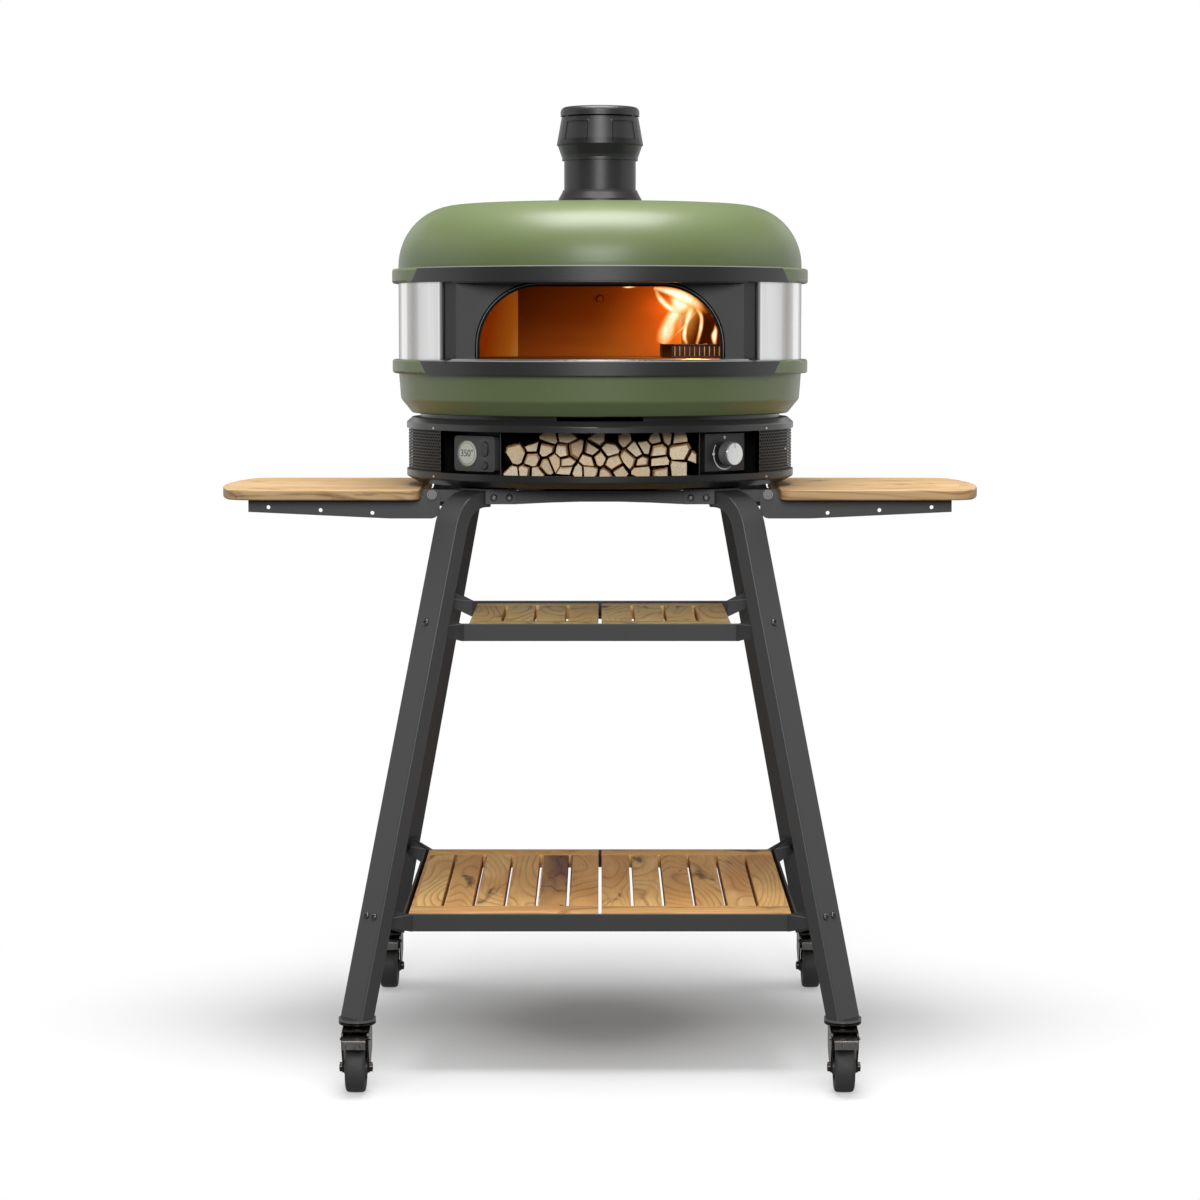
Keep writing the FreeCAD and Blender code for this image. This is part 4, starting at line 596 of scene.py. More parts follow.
def logSpots(rng):
    # the middles of the logs, and around them a ring of others that only shape the outer ones
    half, low, rows, columns = stack["half"], stack["low"], stack["rows"], stack["columns"]
    width, height = 2 * half / columns, (stack["high"] - low) / rows
    spots, ghosts = [], []
    for row in range(-1, rows + 1):
        for column in range(-1, columns + 1):
            x = -half + width * (column + 0.5 + (0.4 if row % 2 else -0.1) + rng.uniform(-0.4, 0.4))
            spot = Vector((x, low + height * (row + 0.5 + rng.uniform(-0.36, 0.36))))
            outside = row in (-1, rows) or column in (-1, columns) or abs(x) > half
            if row == -1:
                spot.y = low - height * rng.uniform(0.2, 0.8)
            if outside or rng.random() > 0.12:
                (ghosts if outside else spots).append(spot)
    return spots, ghosts


def logOutline(spot, others, rng):
    # what is nearer to this spot than to the others; short edges go, as a split leaves few faces
    half, low, high = stack["half"], stack["low"], stack["high"]
    cell = [Vector(c) for c in ((-half, low), (half, low), (half, high), (-half, high))]
    for other in others:
        if other is not spot:
            away = (spot - other).normalized()
            cell = clipped(cell, (spot + other) / 2 + away * rng.uniform(*stack["gap"]), away)
    return [p for i, p in enumerate(cell) if (p - cell[i - 1]).length > stack["edge"]]


def splitLogs():
    rng = random.Random(stack["seed"])
    half, low, high = stack["half"], stack["low"], stack["high"]
    height, still = (high - low) / stack["rows"], Vector((0, 0))
    spots, ghosts = logSpots(rng)
    verts, faces, tones, barks, ends = [], [], [], [], []
    for spot in spots:
        cell = logOutline(spot, spots + ghosts, rng)
        if len(cell) < 3:
            continue
        middle = sum(cell, still) / len(cell)
        leftGap = middle.y > high - height and middle.x < stack["leftGap"] - half
        rightGap = middle.y < low + height and middle.x > half - stack["rightGap"]
        if leftGap or rightGap or spot.y > high - height and rng.random() < 0.35:
            continue                  # gaps in the top row and in two corners
        reach = min((p - middle).length for p in cell)
        size, face, turn = rng.uniform(0.86, 0.99), rng.uniform(*stack["face"]), rng.uniform(0, 2 * math.pi)
        shift = Vector((math.cos(turn), math.sin(turn) * 0.8 - 0.3)) * reach * (1 - face) * 0.8
        front = middleY + stack["front"] + rng.uniform(0.0, 0.016)
        bevel, tone = rng.uniform(*stack["bevel"]), rng.random() ** 1.5
        barkSide = rng.randrange(len(cell)) if rng.random() < 0.22 else -1
        tilt = Vector((rng.uniform(-0.35, 0.35), rng.uniform(-0.35, 0.12)))
        count, base = len(cell), len(verts)
        rings = ((0.0, size * face, shift, tilt), (bevel, size, still, tilt),
                 (stack["length"], size, still, still))
        for back, scale, aside, slope in rings:
            for p in cell:
                q = middle + (p - middle) * scale + aside
                y = max(front + back + (q - middle).dot(slope), middleY + stack["limit"])
                verts.append(Vector((min(max(q.x, -half), half), y, min(max(q.y, low), high))))
        for a in (base, base + count):
            for i in range(count):
                j = (i + 1) % count
                faces.append((a + i, a + j, a + count + j, a + count + i))
                barks.append(1.0 if i == barkSide else 0.0)
        faces.append(tuple(base + i for i in reversed(range(count))))
        barks.append(0.0)
        ends += [0.0] * (2 * count) + [1.0]
        tones += [tone] * (2 * count + 1)
    obj = makePiece("splitLogs", verts, faces, splitWood(), slot="logs", sharp=28)
    for name, values in (("logTone", tones), ("logBark", barks), ("logEnd", ends)):
        layer = obj.data.attributes.new(name, "FLOAT", "FACE")
        layer.data.foreach_set("value", values)
    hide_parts("firewood")


splitLogs()

say("casters")
wheel = {"tyre": 0.038, "rim": 0.0245, "half": 0.0148, "hubHalf": 0.0175, "bore": 0.0045,
         "ribs": 5, "rib": 0.0016, "ribFrom": 0.012}


def tyreRubber():
    finish = Finish("tyreRubber")
    place = finish.place()
    dust = finish.speckle(place, 60, 4, 0.6)
    fine = finish.speckle(place, 1500, 2)
    finish.set(Base_Color=finish.mix(dust, tint("2b2a2a"), tint("434241")),
               Roughness=finish.range(dust, 0.3, 0.7, 0.5, 0.72))
    finish.bump(fine, 0.25, 0.0004)
    return finish.material


def casterWheel(corner, tyre, hub):
    node = f"caster_{corner}_wheel"
    low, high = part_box(node)
    place = Matrix.Translation((low + high) / 2) @ Matrix.Rotation(math.pi / 2, 4, "Y")
    out, rim, half = wheel["tyre"], wheel["rim"], wheel["half"]
    bore, hubHalf, rib = wheel["bore"], wheel["hubHalf"], wheel["rib"]
    tread = rounded([(rim, -half), (out - 0.001, -half), (out, 0), (out - 0.001, half), (rim, half)], 0.0095, 8)
    side = [(rim, -half), (rim - 0.0012, -half + 0.001), (rim - 0.003, -half + 0.005),
            (0.0125, -half + 0.0055), (0.0105, -hubHalf), (bore, -hubHalf)]
    core = side + [(bore, hubHalf)] + [(r, -h) for r, h in reversed(side[:-1])]
    groups = [lathe(tread, 64, place), lathe(core, 64, place)]
    for i in range(wheel["ribs"]):    # shallow ribs on both faces of the hub
        turn = place @ Matrix.Rotation(2 * math.pi * i / wheel["ribs"], 4, "Z")
        for face in (-1, 1):
            under, over = sorted((face * (half - 0.0056), face * (half - 0.0032)))
            groups.append(softBlock((wheel["ribFrom"], -rib, under), (rim - rib, rib, over), 0.0006, turn))
    parts = [0 if i == 0 else 1 for i, group in enumerate(groups) for _ in group[1]]
    obj = makePiece("wheel_" + corner, *gather(*groups), [tyre, hub], "wheel_" + corner, "tyre", 40, parts)
    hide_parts(node)


tyre = tyreRubber()
hub = moulded("hubPlastic", "3c3d3f", 0.42)
for corner in ("front_left", "front_right", "rear_left", "rear_right"):
    casterWheel(corner, tyre, hub)

say("slitShades")
# dark strips standing in for the shade in the slits round the face plate; they also keep the fire lamp's light
# inside
# each strip from its left, front and lower corner to its right, rear and upper one
slitShades = [((side * 0.2388 - 0.0012, -0.2135, 1.0915), (side * 0.2388 + 0.0012, -0.2, 1.2095))
         for side in (-1, 1)]
slitShades += [((-0.2385, -0.2385, 1.2083), (0.2385, -0.205, 1.2098)),
          ((-0.2385, -0.2385, 1.0912), (-0.2282, -0.2, 1.0927)),
          ((0.2282, -0.2385, 1.0912), (0.2385, -0.2, 1.0927))]
slitShadeStrips = [softBlock((x, y + middleY, z), (right, back + middleY, top), 0.0003)
              for (x, y, z), (right, back, top) in slitShades]
makePiece("slitShadeStrips", *gather(*slitShadeStrips), bayCoat, slot="black_metal")

say("mouth")
arch = {"half": 0.1875, "top": 1.2074, "foot": 1.0935, "radius": 0.095, "steps": 16}


def archLine(inset, y):
    # the trim's outline moved inwards, from one foot over the arch to the other
    radius, half, top = arch["radius"] - inset, arch["half"] - inset, arch["top"] - inset
    points = [(-half, arch["foot"])]
    for side, start in ((-1, 180), (1, 90)):
        for i in range(arch["steps"] + 1):
            turn = math.radians(start - 90 * i / arch["steps"])
            points.append((side * (half - radius) + radius * math.cos(turn),
                           top - radius + radius * math.sin(turn)))
    return [Vector((x, y, z)) for x, z in points + [(half, arch["foot"])]]


def archBand(name, outer, inner, y, material):
    lines = [archLine(outer, y), archLine(inner, y)]
    count = len(lines[0])
    faces = [(i, i + 1, count + i + 1, count + i) for i in range(count - 1)]
    band = makePiece(name, lines[0] + lines[1], faces, material, slot="black_metal")
    band.modifiers.new("sheet", "SOLIDIFY").thickness = 0.0003


# painted shadow: a black line on the plate just outside the trim
archBand("trimGapShadow", -0.0022, -0.0002, -0.2179, ringCoat)
# painted highlight: a grey line on the trim's outer edge
archBand("trimEdgeHighlight", 0.0001, 0.0014, -0.2208, coated("trimHighlightCoat", "6c6c6d", 0.35, 0.03))

say("drum")
grille = {"radius": 0.305, "low": 0.918, "high": 0.983, "start": 53.5, "end": 126.5, "pitch": 0.0054,
          "hole": 0.0018, "rows": 14, "backSteps": 40, "liner": 0.299, "linerSteps": 24, "linerStart": 0.01}
pan = {"low": 0.8895, "high": 0.8978, "radius": 0.211}


def drumSpot(angle, height, side, reach):
    return Vector((side * reach * math.sin(angle), middleY - reach * math.cos(angle), height))


def perforatedWalls(material):
    # staggered round holes in the two side stretches, plain steel between them at the back
    radius, low, high, rows = grille["radius"], grille["low"], grille["high"], grille["rows"]
    start, end, hole = math.radians(grille["start"]), math.radians(grille["end"]), grille["hole"]
    columns = int((end - start) * radius / grille["pitch"])
    wide, tall = (end - start) / columns, (high - low) / rows
    verts, faces = [], []

    def panel(side, points):
        base = len(verts)
        verts.extend(drumSpot(*p, side, radius) for p in points)
        ring = tuple(base + i for i in range(len(points)))
        faces.append(ring if side > 0 else ring[::-1])

    for side in (-1, 1):
        for row in range(rows):
            z = low + tall * row
            if row % 2:               # the half cell that the stagger leaves at the start
                half = start + wide / 2
                panel(side, [(start, z), (half, z), (half, z + tall), (start, z + tall)])
            for column in range(columns):
                a = start + wide * (column + (0.5 if row % 2 else 0))
                b = min(a + wide, end)
                middle = (a + b) / 2
                border = [(a, z), (middle, z), (b, z), (b, z + tall), (middle, z + tall), (a, z + tall)]
                if column == columns - 1:
                    panel(side, border)
                    continue
                base = len(verts)
                verts += [drumSpot(*p, side, radius) for p in border]
                for i in range(6):
                    turn = math.radians(60 * i - 150)
                    verts.append(drumSpot(middle + hole * math.cos(turn) / radius,
                                          z + tall / 2 + hole * math.sin(turn), side, radius))
                for i in range(6):
                    j = (i + 1) % 6
                    quad = (base + i, base + j, base + 6 + j, base + 6 + i)
                    faces.append(quad if side > 0 else quad[::-1])
    steps, sweep = grille["backSteps"], 2 * math.pi - 2 * end
    for i in range(steps):
        a, b = end + sweep * i / steps, end + sweep * (i + 1) / steps
        panel(1, [(a, low), (b, low), (b, high), (a, high)])
    obj = makePiece("drumWalls", verts, faces, material, slot="black_metal", sharp=180)
    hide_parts("drum_wall")


def drumShadeSheets():
    # dark sheets behind the holes, standing in for the shade inside the drum
    low, high, steps = grille["low"], grille["high"], grille["linerSteps"]
    start, end = math.radians(grille["start"]) + grille["linerStart"], math.radians(grille["end"])
    verts, faces = [], []
    for side in (-1, 1):
        for i in range(steps):
            a, b = (start + (end - start) * k / steps for k in (i, i + 1))
            ring = tuple(len(verts) + k for k in range(4))
            verts += [drumSpot(*p, side, grille["liner"]) for p in ((a, low), (b, low), (b, high), (a, high))]
            faces.append(ring if side > 0 else ring[::-1])
    shadeSheetBlack = coated("shadeSheetBlack", "020202", 0.9, 0.02, shine=0.0)
    makePiece("drumShadeSheets", verts, faces, shadeSheetBlack, slot="black_metal")


def drumPan():
    # the sunk bottom of the drum, between the top rails
    low, radius = pan["low"], pan["radius"]
    profile = rounded([(0, low), (radius - 0.006, low), (radius, low + 0.004), (radius, pan["high"])], 0.002, 3)
    makePiece("drumPan", *lathe(profile, 96, Matrix.Translation((0, middleY, 0))), bayCoat, slot="black_metal")


perforatedWalls(grilleCoat)
drumShadeSheets()
drumPan()

say("bolts")
bolt = {"head": 0.0055, "high": 0.003, "shank": 0.003, "nut": 0.0045, "nutHigh": 0.004, "rail": 0.215,
        "railZ": 0.881, "legReach": 0.54484, "lean": math.radians(14.92), "half": 0.0125,
        "legGrip": 0.028, "railGrip": 0.006, "corners": {225: 1, 315: -1, 45: -1, 135: 1},
        "leg": ((0.25764, 0.00835), (0.25764, -0.00899), (0.69386, -0.0019)),
        "ends": {0: (0.139, 0.1625), 90: (0.136, 0.152), 180: (0.139, 0.1625), 270: (0.136, 0.152)}}
pin = {"x": 0.2596, "y": 0.1745, "z": 0.8836, "radius": 0.0075,
       "rings": ((1.0, 0.82), (0.6, 0.42), (0.2, 0.0))}
# each screw of the drum as its angle, distance from the middle and height
screws = [(56.5, 0.308, 0.986), (56.5, 0.308, 0.9115), (-56.5, 0.308, 0.986), (-56.5, 0.308, 0.9115),
          (77.5, 0.308, 0.986), (77.5, 0.308, 0.9125), (72.0, 0.3055, 0.9515)]


def facing(spot, outward):
    # a place at the spot whose Z looks outward
    turn = Vector(outward).to_track_quat("Z", "Y").to_matrix().to_4x4()
    return Matrix.Translation(Vector(spot) + Vector((0, middleY, 0))) @ turn


def fastener(place, grip):
    # a domed socket head, its shank and its nut
    r, h, s, n = bolt["head"], bolt["high"], bolt["shank"], bolt["nut"]
    socket = 0.45 * r
    end = -grip - bolt["nutHigh"]
    return lathe([(0, end), (n, end), (n, -grip), (s, -grip), (s, 0), (r, 0), (r, 0.35 * h),
                  (0.93 * r, 0.6 * h), (0.75 * r, 0.85 * h), (socket, h), (socket, h - 0.0018),
                  (0, h - 0.0018)], 20, place)


def frameBolts():
    lean, groups = bolt["lean"], []
    for angle, side in bolt["corners"].items():
        turn = Matrix.Rotation(math.radians(angle), 3, "Z")
        outward = Vector((math.cos(lean), 0, math.sin(lean)))
        for z, aside in bolt["leg"]:
            reach = bolt["legReach"] + bolt["half"] / math.cos(lean) - math.tan(lean) * z
            spot = Vector((reach, aside * side, z))
            groups.append(fastener(facing(turn @ spot, turn @ outward), bolt["legGrip"]))
    for angle, (inner, outer) in bolt["ends"].items():
        turn = Matrix.Rotation(math.radians(angle), 3, "Z")
        for x in (-outer, -inner, inner, outer):
            spot = turn @ Vector((x, -bolt["rail"], bolt["railZ"]))
            groups.append(fastener(facing(spot, turn @ Vector((0, -1, 0))), bolt["railGrip"]))
    obj = makePiece("frameBolts", *gather(*groups), boltSteel, slot="bright_steel", sharp=40)
    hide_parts("frame_bolts")


def pinFaces():
    # turned rings on the heads of the hinge pins
    r, groups = pin["radius"], []
    for sx in (-1, 1):
        for sy in (-1, 1):
            place = facing((sx * pin["x"], sy * pin["y"], pin["z"]), (0, sy, 0))
            for outer, inner in pin["rings"]:
                groups.append(lathe([(outer * r, -0.0002), (outer * r, 0.0004), (inner * r, 0.0004),
                                     (inner * r, -0.0002)], 32, place))
    makePiece("pinFaces", *gather(*groups), pinSteel, slot="bright_steel", sharp=40)


def drumScrews():
    profile = [(0.0024, -0.0004), (0.0024, 0.0004), (0.0019, 0.001), (0.0008, 0.0012), (0.0008, 0.0006),
               (0, 0.0006)]
    groups = []
    for angle, radius, z in screws:
        turn = math.radians(angle)
        outward = Vector((math.sin(turn), -math.cos(turn), 0))
        groups.append(lathe(profile, 16, facing(outward * radius + Vector((0, 0, z)), outward)))
    makePiece("drumScrews", *gather(*groups), stripSteel, slot="bright_steel", sharp=40)


frameBolts()
pinFaces()
drumScrews()

say("controls")
dial = {"turn": 42, "face": 0.287, "lensX": -0.0148, "lensZ": 0.9485, "lensR": 0.0195,
        "digits": "350°", "digitSize": 0.0148}
knob = {"turn": 42, "x": 0.001, "z": 0.9485, "face": 0.284, "radius": 0.0185, "high": 0.018, "gap": 0.0045,
        "grips": 40, "grip": 0.00035, "side": 0.0016, "arc": 0.0228, "arcSweep": 215, "arcSteps": 48,
        "dots": ((0, 0.025, 0), (-0.0236, 0, 0))}
# the panel round the buttons as x and z, and each button as x, z, width and height
panelBox = ((0.0135, 0.0395), (0.9235, 0.9735))
caps = {"long_button": (0.0224, 0.956, 0.016, 0.025), "round_button": (0.0224, 0.9308, 0.0135, 0.0135)}


def dialGlass():
    finish = Finish("dialGlass", Coat_Weight=0.6, Coat_Roughness=0.1)
    cloud = finish.speckle(finish.place(), 80, 2)
    finish.set(Base_Color=finish.mix(cloud, tint("bcc0b1"), tint("c9ccbf")), Roughness=0.35)
    return finish.material


def thermometer():
    place = plateSpot(-dial["turn"], dial["lensX"], dial["face"], dial["lensZ"])
    radius = dial["lensR"]
    face = rounded([(0.0, 0.0012), (radius - 0.002, 0.0012), (radius, 0.0002), (radius, -0.0015)], 0.0012, 4)
    rim = rounded([(radius - 0.0001, -0.001), (radius + 0.0002, 0.0014), (radius + 0.0012, 0.0014),
                   (radius + 0.0014, -0.001)], 0.0005, 3)
    ring = [(radius - 0.0036, 0.00125), (radius - 0.0036, 0.0014), (radius - 0.0031, 0.0014),
            (radius - 0.0031, 0.00125)]
    lens = makePiece("displayLens", *lathe(face, 64, place), dialGlass(), slot="lens")
    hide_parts("display_lens")
    makePiece("displayRim", *lathe(rim, 64, place), moulded("rimGrey", "77796f", 0.4), slot="plastic")
    ink = moulded("dialInk", "3f443b", 0.5)
    makePiece("dialRing", *lathe(ring, 64, place), ink, slot="plastic")
    text = bpy.data.curves.new("dialDigits", "FONT")
    text.body, text.size, text.extrude = dial["digits"], dial["digitSize"], 0.0001
    text.align_x, text.align_y = "CENTER", "CENTER"
    text.materials.append(ink)
    digits = bpy.data.objects.new("dialDigits", text)
    bpy.context.scene.collection.objects.link(digits)
    digits.matrix_world = place @ Matrix.Translation((0, 0, 0.0014))
    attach(digits, "table")


def turnedMetal(name, origin, axis):
    # rings left by the lathe on a face, read about the knob's own axis
    finish = Finish(name, Metallic=1.0, Anisotropic=0.6)
    place = finish.place((1, 1, 1), tuple(-c for c in origin))
    side = finish.node("VectorMath", {"operation": "CROSS_PRODUCT"}, {0: place, 1: axis})[0]
    away = finish.node("VectorMath", {"operation": "LENGTH"}, {0: side})["Value"]
    rings = finish.speckle(finish.node("CombineXYZ", None, {0: away * 4200.0})["Vector"], 1, 2)
    soft = finish.speckle(finish.node("CombineXYZ", None, {0: away * 900.0})["Vector"], 1, 2)
    finish.set(Base_Color=finish.mix(rings, tint("c6c6c6"), tint("f2f2f2")),
               Roughness=finish.range(soft, 0.3, 0.7, 0.2, 0.34))
    finish.bump(rings, 0.05, 0.0002)
    return finish.material


def gasKnob():
    place = plateSpot(knob["turn"], knob["x"], knob["face"] + knob["gap"], knob["z"])
    r, h, grip = knob["radius"], knob["high"], knob["grip"]
    body = rounded([(0.004, 0), (r - 0.0006, 0), (r - 0.0002, 0.002), (r - 0.0008, h - 0.0012),
                    (r - 0.002, h), (0.0, h - 0.0002)], 0.0006, 3)
    groups = [lathe(body, 96, place)]
    for i in range(knob["grips"]):    # fine grips round the side
        turn = place @ Matrix.Rotation(2 * math.pi * i / knob["grips"], 4, "Z")
        groups.append(softBlock((r - 0.0012, -grip, 0.003), (r, grip, h - 0.003), 0.0002, turn))
    verts, faces = gather(*groups)
    back, parts = place.inverted(), []
    for face in faces:                # the side and the face are turned from one bar, but shine differently; the side's darker grey is painted shade
        spot = back @ (sum((verts[i] for i in face), Vector()) / len(face))
        parts.append(1 if math.hypot(spot.x, spot.y) > r - knob["side"] else 0)
    centre = place @ Vector((0, 0, 0))
    axis = (place @ Vector((0, 0, 1)) - centre).normalized()
    metal = turnedMetal("turnedAluminium", centre, tuple(axis))
    # painted shade: the side is a darker, less metallic copy of the knob's metal
    side = brushed("knobSide", "8a8a8a", (900, 900, 60), 0.42, 0.1)
    side.node_tree.nodes["Principled BSDF"].inputs["Metallic"].default_value = 0.45
    obj = makePiece("gasKnob", verts, faces, [metal, side], "knob", "knob", 30, parts)
    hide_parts("gas_knob")
    mark = softBlock((-0.0005, 0.009, h - 0.0003), (0.0005, r - 0.002, h + 0.0001), 0.0001, place)
    makePiece("knobMark", *mark, moulded("markBlack", "1d1d1d", 0.4), "knob", "knob")


def knobDial():
    # the arc round the knob, open at the upper left, and the dots at its two ends
    white = moulded("dialWhite", "e9e9e6", 0.5, 900, 0.02)
    place = plateSpot(knob["turn"], knob["x"], knob["face"], knob["z"])
    verts, faces, steps = [], [], knob["arcSteps"]
    for i in range(steps + 1):
        a = math.radians(knob["arcSweep"] * (i / steps - 1))
        wide = 0.0007 + 0.0013 * (1 - abs(i / steps - 0.6))
        for radius in (knob["arc"], knob["arc"] + wide):
            verts.append(place @ Vector((radius * math.cos(a), radius * math.sin(a), 0.0003)))
        if i:
            faces.append((2 * i - 2, 2 * i - 1, 2 * i + 1, 2 * i))
    arc = makePiece("dialArc", verts, faces, white, slot="plastic")
    arc.modifiers.new("ink", "SOLIDIFY").thickness = 0.0003
    dots = [lathe([(0.0, 0.0005), (0.0023, 0.0005), (0.0025, 0.0)], 24, place @ Matrix.Translation(spot))
            for spot in knob["dots"]]
    makePiece("dialDots", *gather(*dots), white, slot="plastic")


def flatCap(outline, low, high, place):
    # an outline raised into a thin cap with a softened rim
    count, verts = len(outline), []
    middle = sum((Vector(p) for p in outline), Vector((0, 0))) / count
    for scale, height in ((1.0, low), (1.0, high - 0.0004), (0.95, high)):
        verts += [place @ Vector((*(middle + (Vector(p) - middle) * scale), height)) for p in outline]
    faces = []
    for a in (0, count):
        b = a + count
        faces += [(a + i, a + (i + 1) % count, b + (i + 1) % count, b + i) for i in range(count)]
    return verts, faces + [tuple(2 * count + i for i in range(count))]


def stadium(x, z, wide, tall, steps=14):
    # the outline of a round or long button
    r = wide / 2
    arcs = [(math.pi * k / steps, z + tall / 2 - r) for k in range(steps + 1)]
    arcs += [(math.pi + math.pi * k / steps, z - tall / 2 + r) for k in range(steps + 1)]
    return [(x + r * math.cos(a), level + r * math.sin(a)) for a, level in arcs]


def buttons():
    # flush caps, each in a dark ring painted as the shade of the gap around it; each cap rides its own button
    place = plateSpot(-dial["turn"], 0, dial["face"], 0)
    gapShadeBlack = moulded("gapShadeBlack", "161617", 0.6)
    capGrey = moulded("capGrey", "343537", 0.45)
    (left, right), (low, high) = panelBox
    panel = flatCap([(left, low), (right, low), (right, high), (left, high)], 0.0, 0.00025, place)
    makePiece("buttonPanel", *panel, moulded("panelGrey", "434446", 0.45), slot="plastic")
    for name, (x, z, wide, tall) in caps.items():
        gapShadeRing = flatCap(stadium(x, z, wide, tall), 0.0002, 0.0004, place)
        makePiece(name + "Well", *gapShadeRing, gapShadeBlack, slot="plastic")
        cap = flatCap(stadium(x, z, wide - 0.0022, tall - 0.0022), 0.0015, 0.0024, place)
        obj = makePiece(name + "Cap", *cap, capGrey, name, "plastic")
        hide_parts(name)


thermometer()
buttons()
gasKnob()
knobDial()

say("fire")
# every wisp from its foot up: x, z and half width in millimetres, and how thick it is
wisps = (((85, 1203, 3, 0.5), (104, 1199, 6, 0.9), (128, 1191, 10, 1.0), (150, 1179, 9, 0.8),
          (170, 1163, 4, 0.1)),
         ((110, 1193, 6, 0.1), (122, 1184, 15, 1.0), (133, 1177, 15, 1.0), (145, 1167, 7, 0.1)),
         ((87, 1202, 3, 0.3), (95, 1187, 5, 0.8), (108, 1174, 6, 0.9), (122, 1169, 7, 0.9),
          (136, 1168, 5, 0.5)),
         ((99, 1115, 11, 0.5), (104, 1130, 14, 0.85), (111, 1149, 12, 0.9), (120, 1166, 11, 0.95),
          (128, 1182, 9, 0.6)),
         ((138, 1115, 3, 0.5), (134, 1127, 4, 0.9), (137, 1146, 4, 0.8), (143, 1166, 7, 0.8),
          (146, 1178, 5, 0.3)),
         ((154, 1115, 3, 0.5), (160, 1138, 3.5, 0.9), (161, 1158, 3.5, 0.8), (152, 1174, 5, 0.4)),
         ((118, 1114, 24, 0.16), (130, 1146, 27, 0.42), (138, 1176, 24, 0.5), (132, 1202, 18, 0.15)),
         ((116, 1125, 1, 0.3), (134, 1143, 1.8, 0.8), (156, 1170, 1.8, 0.3)),
         ((183, 1114, 3, 0.5), (182, 1127, 5, 1.0), (184, 1137, 3.5, 0.8), (183, 1147, 0.8, 0.1)),
         ((34, 1204.5, 1, 0.1), (46, 1205, 1.9, 0.9), (60, 1205.5, 1, 0.1)))
fire = {"y": -0.03, "strength": 1.4, "columns": 10, "steps": 6, "wide": 1.25, "apart": 0.004, "top": 1.2205,
        "wisps": wisps, "slotStrength": 0.6}
guard = {"x": (0.098, 0.112, 0.225), "y": (-0.061, -0.075, 0.12), "low": 1.093, "high": 1.1148, "sheet": 0.0016,
         "slots": 14, "first": 0.1168, "pitch": 0.00775, "slot": 0.0015, "rim": 0.0036}


def flameSkin():
    # bright wisps that thin to nothing at their edges
    finish = Finish("flameSkin", Roughness=1.0, Specular_IOR_Level=0.0)
    glowLevel = finish.node("Attribute", {"attribute_name": "flameHeat"})["Fac"]
    wisps = finish.speckle(finish.place((60, 60, 40)), 1, 2, 0.5, 1.2)
    level = glowLevel * (0.75 + wisps * 0.5)
    colour = finish.grade(level, [(0.0, "b8440a"), (0.3, "ea8c34"), (0.6, "ffc67c"), (0.95, "fff0d2")])
    finish.set(Base_Color=tint("000000"), Emission_Color=colour, Emission_Strength=fire["strength"],
               Alpha=finish.range(level, 0.03, 0.9, 0.0, 0.93))
    return finish.material


def along(points, t):
    # a smooth curve through all the points, t counted in points
    i = min(int(t), len(points) - 2)
    u = t - i
    a, b, c, d = (points[max(0, min(len(points) - 1, i + k))] for k in (-1, 0, 1, 2))
    return [0.5 * (2 * q + (r - p) * u + (2 * p - 5 * q + 4 * r - s) * u * u + (3 * q - p - 3 * r + s) * u ** 3)
            for p, q, r, s in zip(a, b, c, d)]


def flames():
    columns, verts, faces, heats = fire["columns"], [], [], []
    for order, wisp in enumerate(fire["wisps"]):
        count, base = (len(wisp) - 1) * fire["steps"], len(verts)
        for i in range(count + 1):
            t = i / fire["steps"]
            x, z, half, body = along(wisp, t)
            ahead, behind = along(wisp, min(t + 0.05, len(wisp) - 1)), along(wisp, max(t - 0.05, 0))
            run = Vector((ahead[0] - behind[0], ahead[1] - behind[1])).normalized()
            for j in range(columns + 1):
                u = j / columns * 2 - 1
                aside = half * u * fire["wide"]
                px, pz = x - run.y * aside, z + run.x * aside
                y = middleY + fire["y"] + fire["apart"] * order
                verts.append(Vector((px / 1000, y, min(pz / 1000, fire["top"]))))
                heats.append(max(0.0, body) * (1 - u * u) ** 1.4)
        for i in range(count):
            for j in range(columns):
                a = base + i * (columns + 1) + j
                faces.append((a, a + 1, a + columns + 2, a + columns + 1))
    obj = makePiece("flames", verts, faces, flameSkin(), slot="steel")
    obj.data.attributes.new("flameHeat", "FLOAT", "POINT").data.foreach_set("value", heats)


def slottedGuard():
    # the slotted steel before the burner, its left front corner cut off
    x, y, low, high = guard["x"], guard["y"], guard["low"], guard["high"]
    sheet, rim, front = guard["sheet"], guard["rim"], middleY + guard["y"][1]
    groups = [softBlock((x[1], front, foot), (x[2], front + sheet, foot + rim), 0.0003)
              for foot in (low, high - rim)]
    edge = x[1]
    for i in range(guard["slots"] + 1):
        slot = guard["first"] + guard["pitch"] * i if i < guard["slots"] else x[2]
        groups.append(softBlock((edge, front, low + rim), (slot, front + sheet, high - rim), 0.0002))
        edge = slot + guard["slot"]
    groups.append(softBlock((x[0], middleY + y[0], low), (x[0] + sheet, middleY + y[2], high), 0.0003))
    run = Vector((x[0] - x[1], y[0] - y[1], 0))
    turn = Matrix.Translation((x[1], front, 0)) @ Matrix.Rotation(math.atan2(run.y, run.x), 4, "Z")
    groups.append(softBlock((0, -sheet, low), (run.length, 0, high), 0.0003, turn))
    obj = makePiece("slottedGuard", *gather(*groups), firelitSteel("guardSteel", 0.2), slot="steel", sharp=40)
    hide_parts("burner_guard")


